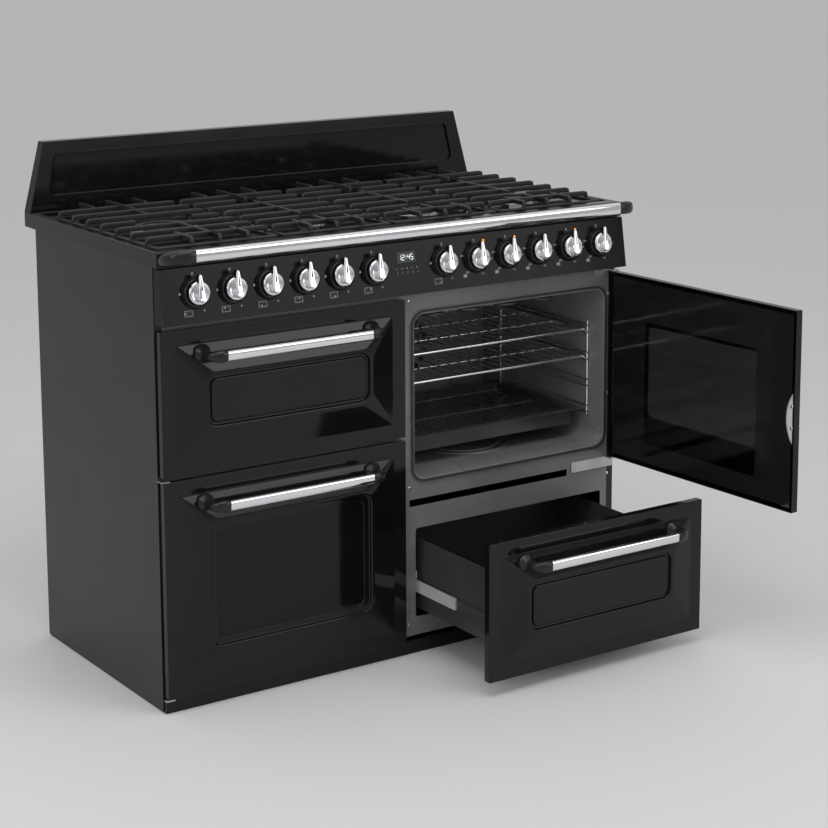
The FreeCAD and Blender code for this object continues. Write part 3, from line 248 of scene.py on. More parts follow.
# ---- Front frame and oven cavities ---------------------------------------------------------------
# Enamelled pressings: a flat grey frame, and cavities welded to it round their mouths, where rubber
# seals are pressed in. Their grey enamel has fine pale specks, and domed screws hold the frame.
grey_enamel = finish("grey_enamel", (0.155, 0.156, 0.158), (0.185, 0.186, 0.188), (0.22, 0.32),
                     grain=(220.0, 0.015), specks=0.10)
oven_enamel = finish("oven_enamel", (0.19, 0.19, 0.192), (0.24, 0.24, 0.242), (0.2, 0.34),
                     grain=(240.0, 0.02), specks=0.35)
seal_rubber = finish("seal_rubber", (0.02, 0.02, 0.02), (0.03, 0.03, 0.03), (0.5, 0.62),
                     grain=(1500.0, 0.03))
screw_steel = finish("screw_steel", (0.66, 0.66, 0.67), (0.56, 0.56, 0.58), (0.18, 0.3),
                     metallic=1.0, grain=(900.0, 0.01))
refinish("front_frame", grey_enamel)
for cavity in ("cavity_right", "cavity_upper_left", "cavity_lower_left"):
    refinish(cavity, oven_enamel)
refinish("oven_seals", seal_rubber)


def settle(piece, body, replaced=()):
    """Fixes a finished piece to its body, and hides the parts of the imported model it stands for.
    """
    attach(piece, body)
    if replaced:
        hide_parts(*replaced)
    return piece


def geometry_tree(name, inputs):
    """A geometry nodes tree with a geometry in and out, and inputs of the kinds given by name."""
    tree = bpy.data.node_groups.new(name, "GeometryNodeTree")
    for label, kind in {"Geometry": "Geometry", **inputs}.items():
        tree.interface.new_socket(label, in_out="INPUT", socket_type=f"NodeSocket{kind}")
    tree.interface.new_socket("Geometry", in_out="OUTPUT", socket_type="NodeSocketGeometry")
    return tree, add_node(tree, "NodeGroupInput").outputs


def end_tree(tree, instances, material):
    """Ends a geometry nodes tree: its instances made real meshes, in one material."""
    solid = add_node(tree, "GeometryNodeRealizeInstances", {"Geometry": instances.outputs[0]})
    dressed = add_node(tree, "GeometryNodeSetMaterial", {
        "Geometry": solid.outputs[0], "Material": material})
    add_node(tree, "NodeGroupOutput", {"Geometry": dressed.outputs[0]})


def screw_tree():
    """Geometry nodes: a domed head on every point of the base mesh, all facing one way."""
    tree, given = geometry_tree("screw_heads", {
        "Head radius": "Float", "Head height": "Float", "Facing": "Vector", "Finish": "Material"})
    dome = add_node(tree, "GeometryNodeMeshUVSphere", {"Segments": 20, "Rings": 10, "Radius": 1.0})
    squash = add_node(tree, "ShaderNodeCombineXYZ", {
        "X": given["Head radius"], "Y": given["Head radius"], "Z": given["Head height"]})
    head = add_node(tree, "GeometryNodeTransform", {
        "Geometry": dome.outputs["Mesh"], "Scale": squash.outputs[0]})
    turn = add_node(tree, "FunctionNodeAlignRotationToVector", {"Vector": given["Facing"]},
                    axis="Z")
    placed = add_node(tree, "GeometryNodeInstanceOnPoints", {
        "Points": given["Geometry"], "Instance": head.outputs[0], "Rotation": turn.outputs[0]})
    end_tree(tree, placed, given["Finish"])
    return tree


usual_crease = 38.0          # degrees; a piece is smooth where its faces meet at less


def grown(name, tree, inputs, spots):
    """The plain mesh piece that a tree makes on spots in mm, its inputs given by name in metres."""
    base = bpy.data.meshes.new(name)
    base.from_pydata([Vector(spot) / metre for spot in spots], [], [])
    maker = add_object(name, base)
    modifier = maker.modifiers.new("maker", "NODES")
    modifier.node_group = tree
    sockets = {port.name: port.identifier for port in tree.interface.items_tree
               if port.in_out == "INPUT"}
    for key, value in inputs.items():
        modifier[sockets[key]] = value
    bpy.context.view_layer.update()
    made = maker.evaluated_get(bpy.context.evaluated_depsgraph_get())
    mesh = bpy.data.meshes.new_from_object(made)
    bpy.data.objects.remove(maker)
    mesh.shade_smooth()
    mesh.set_sharp_from_angle(angle=math.radians(usual_crease))
    return add_object(name, mesh)


screws = screw_tree()


def add_screws(name, body, spots, head, facing):
    """A group of like bright screws: domed heads of a radius and height, on spots in mm."""
    radius, height = head
    inputs = {"Head radius": radius / metre, "Head height": height / metre, "Facing": facing,
              "Finish": screw_steel}
    return settle(grown(name, screws, inputs, spots), body)


frame_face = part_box("front_frame")[0].y * metre
screw_stand = 0.2            # a head's rim stands this far off the plate
frame_screws = [(x, frame_face - screw_stand, z) for x, z in (
    (18.0, 742.0), (532.0, 700.0), (532.0, 480.0), (18.0, 352.0), (535.0, 300.0), (535.0, 60.0),
    (16.0, 60.0), (-18.0, 742.0), (-532.0, 742.0))]
add_screws("frame_screws", "carcass", frame_screws, head=(3.6, 1.6), facing=(0.0, -1.0, 0.0))

# ---- Racks, shelves and roasting tray ------------------------------------------------------------
# Wire, bent, spot-welded and chromed: the side racks hook into the ovens' walls and carry the
# shelves. The roasting tray is pressed steel in dark speckled enamel, with a chromed grid in it.
chrome_wire = finish("chrome_wire", (0.90, 0.90, 0.91), (0.80, 0.80, 0.82), (0.2, 0.32),
                     metallic=1.0, grain=(300.0, 0.01))
tray_enamel = finish("tray_enamel", (0.045, 0.045, 0.05), (0.06, 0.06, 0.065), (0.18, 0.3),
                     grain=(260.0, 0.02), specks=0.5)
for rack in ("oven_racks", "right_shelf_upper", "right_shelf_lower", "tray_insert"):
    refinish(rack, chrome_wire)
refinish("roasting_tray", tray_enamel)

# ---- Grill elements and fan ----------------------------------------------------------------------
# The elements are bent steel tubes under the roofs of the right and the upper left oven, browned by
# heat. A galvanised fan turns behind its enamelled cover on the right oven's back wall.
element_steel = finish("element_steel", (0.20, 0.19, 0.18), (0.12, 0.11, 0.10), (0.4, 0.55),
                       metallic=0.8, grain=(500.0, 0.03), smear=30.0)
refinish("heating_elements", element_steel)
refinish("fan_housing", oven_enamel)
refinish("convection_fan", galvanised)

# ---- Worktop and splashback ----------------------------------------------------------------------
# One pressed and enamelled hob with a rolled rim, laid over the carcass. The splashback behind it
# is folded from enamelled sheet: it tapers, is open at the back, and has a shallow sunk panel.
refinish("hob_top", black_enamel)
refinish("splashback", black_enamel)

# ---- Burners -------------------------------------------------------------------------------------
# Cast aluminium bodies with a crown of flame slots stand in the hob's bowls, each with a loose
# enamelled steel cap on it and a ceramic igniter beside it. The large burner in the left column has
# a ring of flames round its middle one.
burner_alloy = finish("burner_alloy", (0.86, 0.86, 0.87), (0.72, 0.72, 0.73), (0.3, 0.45),
                      metallic=0.3, grain=(700.0, 0.03))
burner_enamel = finish("burner_enamel", (0.012, 0.012, 0.013), (0.018, 0.018, 0.019), (0.3, 0.42),
                       grain=(900.0, 0.03), specular=0.4)
ceramic = finish("ceramic", (0.75, 0.73, 0.68), (0.65, 0.62, 0.56), (0.3, 0.4), grain=(600.0, 0.02))
refinish("igniters", ceramic)


def turned(shape, profile, steps=48):
    """A turned form about Z from (radius, height) points. A radius of 0 closes it in a pole."""
    rings = []
    for radius, height in profile:
        angles = [math.tau * k / steps for k in range(steps if radius else 1)]
        rings.append([shape.verts.new((radius * math.cos(a), radius * math.sin(a), height))
                      for a in angles])
    for low, high in zip(rings, rings[1:]):
        for k in range(steps):
            n = (k + 1) % steps
            around = [low[k % len(low)], low[n % len(low)],
                      high[n % len(high)], high[k % len(high)]]
            shape.faces.new(list(dict.fromkeys(around)))


weld = 0.002                 # points closer than this are one
to_metres = Matrix.Scale(1.0 / metre, 4)


def add_piece(name, shape, material, body, replaced=(), place=None, crease=usual_crease):
    """Makes a shape in millimetres a piece of the cooker, smooth but for its real edges."""
    bmesh.ops.remove_doubles(shape, verts=shape.verts, dist=weld)
    bmesh.ops.recalc_face_normals(shape, faces=shape.faces)
    mesh = bpy.data.meshes.new(name)
    shape.to_mesh(mesh)
    shape.free()
    mesh.transform(to_metres @ place if place else to_metres)
    mesh.materials.append(material)
    mesh.shade_smooth()
    mesh.set_sharp_from_angle(angle=math.radians(crease))
    piece = add_object(name, mesh)
    even = piece.modifiers.new("even_shading", "WEIGHTED_NORMAL")
    even.keep_sharp = True
    return settle(piece, body, replaced)


def moved(shape, start, place):
    """Moves the vertices made since `start` by a matrix."""
    shape.verts.ensure_lookup_table()
    bmesh.ops.transform(shape, verts=shape.verts[start:], matrix=place)


bowl_floor = 884.0
column_x = (-390.0, -130.0, 130.0, 390.0)
burner_places = (            # column, y, radius of the crown
    (0, -15.0, 62.0), (1, 108.0, 44.0), (1, -135.0, 27.0), (2, 108.0, 36.0), (2, -135.0, 44.0),
    (3, 108.0, 36.0), (3, -135.0, 36.0))
crown_floor = 3.0
crown_top = 12.0
cup_depth = 26.0             # the cup below the hob
cup_share = 0.6              # its radius, as a share of the crown's
wok_inner = 0.42             # the wok burner's middle crown, as a share of its ring
wok_gap = 0.72               # the ring's inner edge, as a share of its radius
cap_thick = 5.0
cap_inset = 1.0
comb_inset = 1.4
tooth_pitch = 3.1
tooth_size = (2.6, 1.7, 8.4)


def crown_profile(radius, inner):
    """Section of a crown: a cup below the hob and a dished casting, or a plain ring."""
    outside = [(radius + 4, 0), (radius + 4, 2.2), (radius + 2.6, crown_floor),
               (radius - 1.2, crown_floor + 0.6), (radius - 2.6, crown_floor + 2.4),
               (radius - 2.6, crown_top)]
    if inner:
        return outside + [(inner, crown_top), (inner, 0), outside[0]]
    cup = [(0, -cup_depth), (radius * cup_share, -cup_depth), (radius * cup_share, 0)]
    return cup + outside + [(0, crown_top)]


def cap_profile(radius, low, high, inner):
    """Section of an enamelled cap with a rolled edge, or of a ring cap."""
    rim = [(radius - 3.4, low), (radius - 0.6, low + 0.2), (radius, low + 1.0),
           (radius - 0.5, low + 2.0), (radius - 2.6, high - 0.7), (radius - 6.0, high - 0.1)]
    if inner:
        return [(inner, low)] + rim + [(inner + 2.5, high), (inner, high - 1.2), (inner, low)]
    return [(0, low)] + rim + [(radius * 0.4, high), (0, high)]


def comb_tree():
    """Geometry nodes: a ring of upright teeth round Z, set on the base point."""
    tree, given = geometry_tree("flame_comb", {
        "Ring radius": "Float", "Teeth": "Int", "Tooth size": "Vector", "Finish": "Material"})
    ring = add_node(tree, "GeometryNodeMeshCircle", {
        "Vertices": given["Teeth"], "Radius": given["Ring radius"]})
    outward_way = add_node(tree, "GeometryNodeInputPosition").outputs[0]
    turn = add_node(tree, "FunctionNodeAlignRotationToVector", {"Vector": outward_way}, axis="X")
    tooth = add_node(tree, "GeometryNodeMeshCube", {"Size": given["Tooth size"]})
    teeth = add_node(tree, "GeometryNodeInstanceOnPoints", {
        "Points": ring.outputs[0], "Instance": tooth.outputs["Mesh"], "Rotation": turn.outputs[0]})
    comb = add_node(tree, "GeometryNodeRealizeInstances", {"Geometry": teeth.outputs[0]})
    combs = add_node(tree, "GeometryNodeInstanceOnPoints", {
        "Points": given["Geometry"], "Instance": comb.outputs[0]})
    end_tree(tree, combs, given["Finish"])
    return tree


flame_combs = comb_tree()
bodies = bmesh.new()
caps = bmesh.new()
for number, (column, y, radius) in enumerate(burner_places):
    spot = Vector((column_x[column], y, bowl_floor))
    crowns = [(radius, 0.0)]
    if column == 0:
        crowns = [(radius, radius * wok_gap), (radius * wok_inner, 0.0)]
    for ring, (outer, inner) in enumerate(crowns):
        start = len(bodies.verts)
        turned(bodies, crown_profile(outer, inner))
        moved(bodies, start, Matrix.Translation(spot))
        start = len(caps.verts)
        turned(caps, cap_profile(outer - cap_inset, crown_top, crown_top + cap_thick, inner))
        moved(caps, start, Matrix.Translation(spot))
        comb_inputs = {"Ring radius": (outer - comb_inset) / metre,
                       "Teeth": int(math.tau * outer / tooth_pitch),
                       "Tooth size": tuple(side / metre for side in tooth_size),
                       "Finish": burner_alloy}
        comb_spot = spot + Vector((0, 0, (crown_floor + crown_top) / 2))
        comb = grown(f"flame_comb_{number + 1}_{ring + 1}", flame_combs, comb_inputs, [comb_spot])
        settle(comb, "carcass")
add_piece("burner_castings", bodies, burner_alloy, "carcass", ["burner_bodies"])
add_piece("burner_lids", caps, burner_enamel, "carcass", ["burner_caps"])

# ---- Pan supports --------------------------------------------------------------------------------
# One loose cast iron support over each column of burners, matt enamelled: a low frame that lies on
# the hob, fingers that bend up from it and reach in to the burners, and short ones front and rear.
cast_iron = finish("cast_iron", (0.016, 0.016, 0.017), (0.024, 0.024, 0.025), (0.40, 0.55),
                   grain=(700.0, 0.12), smear=20.0, specular=0.32)
hob_floor = 896.0
support_top = 915.0
support_half = 125.0
support_outer = 13.0         # the outermost supports reach this much further out
low_frame_y = (-250.0, 190.0)
low_bar = (9.0, 5.0)         # width and height
support_bar = (8.0, 10.0)
bar_nose = (                 # way in from a bar's end, share of its section
    (0.0, 0.55), (0.8, 0.86), (2.0, 1.0))
leg_thick = 6.0
bend_start = 9.0             # a finger bends down over its last stretch, through
bend_middle = (5.0, 0.6, 4.4)     # a point so far in and down, with this half height, and
bend_end = 5.0               # so far down
foot_tall = 1.5
foot_share = 0.82
finger_clear = 26.0          # fingers stop this far from a burner's middle
wok_clear = 62.0
finger_rows = [180.0 - 65.0 * k for k in range(7)]
short_offset = 60.0
short_front = -180.0
rear_end = 245.0
rear_rise = 3.0


def loft(shape, loops, capped=True):
    """Skins a row of loops with as many points each: closed at both ends, or joined in a ring."""
    rings = [[shape.verts.new(point) for point in loop] for loop in loops]
    for low, high in list(zip(rings, rings[1:])) + ([] if capped else [(rings[-1], rings[0])]):
        for k in range(len(low)):
            n = (k + 1) % len(low)
            shape.faces.new((low[k], low[n], high[n], high[k]))
    if capped:
        shape.faces.new(list(reversed(rings[0])))
        shape.faces.new(rings[-1])


def cast_run(shape, stations, width):
    """A cast bar with softened edges, through (middle, upward direction, half height, share)."""
    loops = []
    half = width / 2
    for k, (middle, upward, tall, share) in enumerate(stations):
        last, following = stations[max(k - 1, 0)][0], stations[min(k + 1, len(stations) - 1)][0]
        side = (following - last).normalized().cross(upward).normalized()
        section = [(half * 0.8, -tall), (half * 0.95, -tall * 0.5), (half, tall - 2.4),
                   (half - 0.6, tall - 0.8), (half - 1.9, tall)]
        section += [(-u, v) for u, v in reversed(section)]
        loops.append([middle + (side * u + upward * v) * share for u, v in section])
    loft(shape, loops)


up = Vector((0, 0, 1))


def cast_bar(shape, start, end, size, top):
    """A level bar between two (x, y) points, rounded off at both ends."""
    width, height = size
    a = Vector((*start, top - height / 2))
    b = Vector((*end, top - height / 2))
    ahead = (b - a).normalized()
    ends = [(a + ahead * way, share) for way, share in bar_nose]
    ends += [(b - ahead * way, share) for way, share in reversed(bar_nose)]
    cast_run(shape, [(point, up, height / 2, share) for point, share in ends], width)


def cast_finger(shape, start, end, top):
    """A finger between two (x, y) points, its far end bent down to the hob."""
    width, height = support_bar
    a = Vector((*start, top - height / 2))
    b = Vector((*end, top - height / 2))
    ahead = (b - a).normalized()
    stations = [(a + ahead * way, up, height / 2, share) for way, share in bar_nose]
    stations.append((b - ahead * bend_start, up, height / 2, 1.0))
    back, down, half = bend_middle
    stations.append((b - ahead * back - up * down, (up + ahead).normalized(), half, 1.0))
    leg_half = leg_thick / 2
    stations.append((b - ahead * leg_half - up * bend_end, ahead, leg_half, 1.0))
    foot = Vector((*end, hob_floor)) - ahead * leg_half
    stations.append((foot + up * foot_tall, ahead, leg_half, 1.0))
    stations.append((foot, ahead, leg_half, foot_share))
    cast_run(shape, stations, width)


supports = bmesh.new()
rear_bar = (support_bar[0], support_bar[1] + rear_rise)
for column, middle in enumerate(column_x):
    left = middle - support_half - (support_outer if column == 0 else 0)
    right = middle + support_half + (support_outer if column == len(column_x) - 1 else 0)
    burners_y = sorted(y for place, y, radius in burner_places if place == column)
    clear = finger_clear if column else wok_clear
    low_top = hob_floor + low_bar[1]
    for x in (left + low_bar[0] / 2, right - low_bar[0] / 2):
        cast_bar(supports, (x, low_frame_y[0]), (x, low_frame_y[1]), low_bar, low_top)
    for y in low_frame_y:
        cast_bar(supports, (left, y), (right, y), low_bar, low_top)
    for y in finger_rows:
        near = min(abs(y - burner_y) for burner_y in burners_y)
        stop = math.sqrt(clear ** 2 - near ** 2) if near < clear else 0.0
        cast_finger(supports, (middle - stop, y), (left, y), support_top)
        cast_finger(supports, (middle + stop, y), (right, y), support_top)
    stops = [y + gap for y in burners_y for gap in (-clear, clear)]
    stops = [low_frame_y[0]] + stops + [finger_rows[0]]
    for near, far in zip(stops[::2], stops[1::2]):
        cast_bar(supports, (middle, near), (middle, far), support_bar, support_top)
    for dx in (-short_offset, 0.0, short_offset):
        rear_start = finger_rows[0] if dx else finger_rows[1]
        cast_bar(supports, (middle + dx, rear_start), (middle + dx, rear_end), rear_bar,
                 support_top + rear_rise)
        front_start = short_front if dx else finger_rows[-1]
        front_stop = low_frame_y[0] - leg_thick / 2
        cast_finger(supports, (middle + dx, front_start), (middle + dx, front_stop), support_top)
add_piece("cast_pan_supports", supports, cast_iron, "carcass", ["pan_supports"],
          crease=50.0)

# ---- Gas taps and switches -----------------------------------------------------------------------
# Machined brass taps, screwed into a drawn tube, and a row of switch blocks, all fixed behind the
# fascia. Each carries one knob on its spindle.
brass = finish("brass", (0.72, 0.52, 0.22), (0.60, 0.42, 0.16), (0.25, 0.38), metallic=1.0,
               grain=(500.0, 0.02))
refinish("gas_taps_and_switches", brass)

# ---- Fascia, clock and marks ---------------------------------------------------------------------
# An enamelled sloping panel, folded from sheet and hung below the worktop. The clock sits behind a
# bevelled dark window with lit figures, the five push buttons and three amber lamps are moulded and
# snapped in, and the marks are screen printed.
black_plastic = finish("black_plastic", (0.010, 0.010, 0.011), (0.016, 0.016, 0.017), (0.2, 0.3),
                       grain=(1200.0, 0.015), specular=0.35)
dark_glass = finish("dark_glass", (0.004, 0.004, 0.0045), (0.006, 0.006, 0.0065), (0.04, 0.08),
                    grain=(60.0, 0.002), specular=0.25)
print_ink = finish("print_ink", (0.52, 0.52, 0.53), (0.46, 0.46, 0.47), (0.4, 0.5),
                   grain=(900.0, 0.004))
fascia_enamel = finish("fascia_enamel", (0.0045, 0.0045, 0.005), (0.006, 0.006, 0.0065),
                       (0.12, 0.18), grain=(160.0, 0.012), specular=0.12)
refinish("control_panel", fascia_enamel)
for number in range(1, 6):
    refinish(f"clock_button_{number}", black_plastic)


def lit(name, colour, glow):
    """A plastic that glows a little."""
    dimmer = tuple(0.95 * part for part in colour)
    material = finish(name, colour, dimmer, (0.25, 0.3))
    shader = material.node_tree.nodes["Principled BSDF"]
    shader.inputs["Emission Color"].default_value = (*colour, 1.0)
    shader.inputs["Emission Strength"].default_value = glow
    return material


joints = {joint["name"]: joint for joint in frame["joints"]}
knob_names = [f"control_{k:02d}" for k in range(1, 13)]
knob_spots = [Vector(joints[f"{name}_turn"]["pos_m"]) * metre for name in knob_names]
outward = Vector(joints["control_01_turn"]["axis"])
upslope = Vector((0.0, outward.z, -outward.y))


def on_fascia(x, z):
    """The placing of something made about Z, upright along Y, on the fascia's face at a height."""
    base = knob_spots[0]
    rise = (z - base.z) / upslope.z
    spot = Vector((x, base.y + upslope.y * rise, z))
    turn = Matrix((Vector((1, 0, 0)), upslope, outward)).transposed().to_4x4()
    return Matrix.Translation(spot) @ turn


def add_prism(shape, outline, low, high, place):
    """A flat closed shape from (u, v) points, between two heights."""
    loft(shape, [[place @ Vector((u, v, w)) for u, v in outline] for w in (low, high)])


def oblong(low, high):
    """The four corners of an oblong, from two opposite ones."""
    return [low, (high[0], low[1]), high, (low[0], high[1])]


ink = 0.1                    # how far the print stands up
line_weight = 0.6


def stroke(shape, a, b, weight, place, high=ink):
    """A line between two points, with pointed ends."""
    a = Vector(a)
    b = Vector(b)
    ahead = (b - a).normalized() * (weight / 2)
    side = Vector((-ahead.y, ahead.x))
    outline = [a - ahead, a - side, b - side, b + ahead, b + side, a + side]
    add_prism(shape, outline, 0.0, high, place)


bars_of = {"0": "abcdef", "1": "bc", "2": "abged", "3": "abgcd", "4": "fgbc", "5": "afgcd"}
bar_ends = {"a": ((0, 2), (1, 2)), "b": ((1, 2), (1, 1)), "c": ((1, 1), (1, 0)),
            "d": ((0, 0), (1, 0)), "e": ((0, 1), (0, 0)), "f": ((0, 2), (0, 1)),
            "g": ((0, 1), (1, 1))}
bar_gap = 0.55               # between a figure's bars, as a share of their weight


def digit(shape, figure, spot, size, place, high=ink):
    """A figure of straight bars about a spot; its size is a width, a height and a bar's weight."""
    width, height, weight = size
    for name in bars_of[figure]:
        start, end = (Vector((spot[0] + (x - 0.5) * width, spot[1] + (y - 1.0) * height / 2))
                      for x, y in bar_ends[name])
        short = (end - start).normalized() * weight * bar_gap
        stroke(shape, start + short, end - short, weight, place, high)


def dot_outline(spot, radius, steps=12):
    """Points round a printed dot."""
    turns = [math.tau * k / steps for k in range(steps)]
    return [(spot[0] + radius * math.cos(a), spot[1] + radius * math.sin(a)) for a in turns]


gas_knobs = 7
zero_spot = (-2.0, 37.0)
zero_size = (2.4, 4.2, 0.7)
flame = ((0.0, 3.4), (0.9, 1.5), (1.9, 0.0), (1.5, -1.7), (0.6, -2.4), (-0.6, -2.4), (-1.5, -1.7),
         (-1.9, 0.0), (-0.9, 1.5))
flame_marks = (((-32.0, 1.2), 1.0), ((16.5, -34.0), 0.72))     # spot and size: full and low flame
hob_box = ((-25.5, -42.0), (-8.5, -31.5))
hob_dots = ((-23.3, -36.8), (-19.34, -34.33), (-19.34, -39.27), (-15.02, -34.33), (-15.02, -39.27),
            (-10.88, -34.33), (-10.88, -39.27))
own_dot = 1.5
other_dot = 0.5
heat_figures = ("50", "100", "150", "200", "250")
heat_size = (1.7, 3.0, 0.5)
heat_pitch = 2.9
heat_ring = (36.0, 35.0)
heat_first = 55.0            # degrees from three o'clock to the first of them
heat_step = -62.0
oven_box = ((-34, -36), (-26, -30))
oven_fill = ((-32.5, -34.6), (-27.5, -31.4))
marks = bmesh.new()
for k, knob_spot in enumerate(knob_spots):
    place = on_fascia(knob_spot.x, knob_spot.z)
    digit(marks, "0", zero_spot, zero_size, place)
    corners = oblong(*(hob_box if k < gas_knobs else oven_box))
    if k < gas_knobs:
        for (u, v), size in flame_marks:
            add_prism(marks, [(u + x * size, v + y * size) for x, y in flame], 0.0, ink, place)
        for n, spot in enumerate(hob_dots):
            add_prism(marks, dot_outline(spot, own_dot if n == k else other_dot), 0.0, ink, place)
    else:
        for n, heat in enumerate(heat_figures):
            turn = math.radians(heat_first + heat_step * n)
            u, v = heat_ring[0] * math.cos(turn), heat_ring[1] * math.sin(turn)
            for m, figure in enumerate(heat):
                shift = (m - (len(heat) - 1) / 2) * heat_pitch
                digit(marks, figure, (u + shift, v), heat_size, place)
        add_prism(marks, oblong(*oven_fill), 0.0, ink, place)
    for a, b in zip(corners, corners[1:] + corners[:1]):
        stroke(marks, a, b, line_weight, place)
clock_x = -6.0
clock_z = 838.0
button_pitch = 12.0
button_mark_z = 816.5
minus_half = 1.3
plus_buttons = (1, 2, 4)     # these have a plus above them, and the others a minus
for k in range(5):
    place = on_fascia(clock_x + button_pitch * (k - 2), button_mark_z)
    stroke(marks, (-minus_half, 0.0), (minus_half, 0.0), line_weight, place)
    if k in plus_buttons:
        stroke(marks, (0.0, -minus_half), (0.0, minus_half), line_weight, place)
add_piece("fascia_print", marks, print_ink, "carcass")

clock_half = (22.7, 12.2)
clock_corners = ((1, -0.9), (1, 0.9), (0.95, 1), (-0.95, 1), (-1, 0.9), (-1, -0.9), (-0.95, -1),
                 (0.95, -1))
clock_bevel = ((-3.0, 0.0), (0.1, 0.0), (0.6, 0.9))      # height, drawn in
window_place = on_fascia(clock_x, clock_z)
window = bmesh.new()
loft(window, [[window_place @ Vector((a * (clock_half[0] - trim), b * (clock_half[1] - trim), w))
               for a, b in clock_corners] for w, trim in clock_bevel])
add_piece("clock_window", window, dark_glass, "carcass", ["indicator_lenses"])

light_high = 0.05
clock_size = (5.2, 10.5, 0.9)
colon_low = (-1.1, -0.6)
colon_high = (0.1, 0.6)
figures = bmesh.new()
figures_place = window_place @ Matrix.Translation((0, 0, clock_bevel[-1][0]))
for figure, u in (("1", -15.0), ("2", -7.0), ("4", 5.5), ("5", 13.5)):
    digit(figures, figure, (u, 0.0), clock_size, figures_place, light_high)
for v in (-2.2, 2.2):
    dot = oblong((colon_low[0], v + colon_low[1]), (colon_high[0], v + colon_high[1]))
    add_prism(figures, dot, 0.0, light_high, figures_place)
clock_light = lit("clock_light", (0.85, 0.93, 0.90), 1.1)
add_piece("clock_figures", figures, clock_light, "carcass")

lamp_profile = [(0, -4), (2.6, -4), (2.6, 0.1), (2.3, 0.7), (1.5, 1.1), (0, 1.3)]
lamp_knobs = (7, 8, 10)      # counted from 0: the lamps stand up and right of these
lamp_right = 22.0
lamp_z = 853.0
lamps = bmesh.new()
for k in lamp_knobs:
    start = len(lamps.verts)
    turned(lamps, lamp_profile, steps=20)
    moved(lamps, start, on_fascia(knob_spots[k].x + lamp_right, lamp_z))
amber_plastic = lit("amber_plastic", (0.95, 0.30, 0.03), 0.9)
add_piece("amber_lamps", lamps, amber_plastic, "carcass")

# ---- Bezels and knobs ----------------------------------------------------------------------------
# Each control turns in a moulded black bezel, snapped into the fascia. The knobs are chromed, and
# push on to the spindles: a round disc with a dished, swirled face, and a teardrop blade over it,
# with a dark pointer line let into its top.
bezels = bmesh.new()
bezel_profile = [(9, 0), (30, 0), (29.4, 4), (27.5, 10.5), (27.1, 11.6), (26, 12.6), (24.9, 13),
                 (24.2, 12.6), (24, 11.5), (24, 9), (9, 9), (9, 0)]
for spot in knob_spots:
    start = len(bezels.verts)
    turned(bezels, bezel_profile, steps=64)
    moved(bezels, start, on_fascia(spot.x, spot.z))
add_piece("bezels", bezels, black_plastic, "carcass", ["knob_bezels"])

chrome = finish("chrome", (0.80, 0.80, 0.81), (0.74, 0.74, 0.76), (0.04, 0.09), metallic=1.0,
                grain=(90.0, 0.006))
knob_profile = [(0, -30), (3, -30), (3, 4), (7, 4), (7, 13), (21.0, 13), (22.1, 13.5), (22.5, 14.5),
                (22.5, 17.5), (22.2, 19.4), (21.3, 20.9), (19.8, 21.8), (18.4, 22.0), (17.4, 21.5),
                (16.2, 20.4), (14.5, 19.4), (12.5, 18.7), (10.0, 18.2), (7.0, 17.9), (4.0, 17.7),
                (0, 17.6)]
dish_radius = 17.0
dish_low = 15.0              # what lies above this height, inside the dish, is its face
swirl_height = 0.8
swirl_arms = 3.0
swirl_twist = 0.22           # radians for each millimetre outward
heel = (-9.0, 8.0)           # the blade's round heel: its middle along the blade, and its radius
tip = (31.0, 3.8)
blade_top = 31.0
blade_section = (            # height, drawn in
    (16.0, 0.0), (27.8, 0.0), (29.4, 0.5), (30.4, 1.3), (blade_top, 2.7))
pointer = ((-1.9, 4.0), (1.9, 4.0), (0.5, 29.5), (-0.5, 29.5))
pointer_deep = 0.3
pointer_proud = 0.06


def teardrop(height, shrink, steps=10):
    """Points round the blade at one height, drawn in by `shrink`."""
    lean = math.asin((heel[1] - tip[1]) / (tip[0] - heel[0]))
    points = []
    for (middle, radius), start, sweep in ((tip, lean, math.pi - 2 * lean),
                                           (heel, math.pi - lean, math.pi + 2 * lean)):
        reach = radius - shrink
        for k in range(steps + 1):
            a = start + sweep * k / steps
            points.append(Vector((reach * math.cos(a), middle + reach * math.sin(a), height)))
    return points


for name, spot in zip(knob_names, knob_spots):
    knob = bmesh.new()
    turned(knob, knob_profile, steps=72)
    for vertex in knob.verts:
        reach = math.hypot(vertex.co.x, vertex.co.y)
        if reach < dish_radius and vertex.co.z > dish_low:
            share = math.sin(math.pi * reach / dish_radius)
            turn = math.atan2(vertex.co.y, vertex.co.x)
            vertex.co.z += swirl_height * share * math.sin(swirl_arms * turn + reach * swirl_twist)
    loft(knob, [teardrop(height, shrink) for height, shrink in blade_section])
    place = on_fascia(spot.x, spot.z)
    knob_part = name.replace("control", "knob")
    add_piece(f"{knob_part}_body", knob, chrome, name, [knob_part], place, crease=32.0)
    line = bmesh.new()
    add_prism(line, pointer, blade_top - pointer_deep, blade_top + pointer_proud, place)
    add_piece(f"{knob_part}_pointer", line, black_plastic, name)

# ---- Front rail ----------------------------------------------------------------------------------
# A chromed oval tube, let into two black castings. They curve back to round feet, which are screwed
# to the worktop's front edge from behind.
rail_half = 500.0
rail_size = (14.0, 24.0)
rail_y = -354.0
rail_z = 897.0
tube_trim = 0.8              # how far a tube's ends are broken
tube_square = 3.0            # how square its section is: 2 is an ellipse
casting_square = 2.5


def oval(middle, across, half_across, half_height, power, steps=28):
    """Points round an upright oval; `across` is its level direction, a higher power is squarer."""
    points = []
    for k in range(steps):
        turn = math.tau * k / steps
        c, s = math.cos(turn), math.sin(turn)
        u = half_across * math.copysign(abs(c) ** (2 / power), c)
        v = half_height * math.copysign(abs(s) ** (2 / power), s)
        points.append(middle + across * u + up * v)
    return points


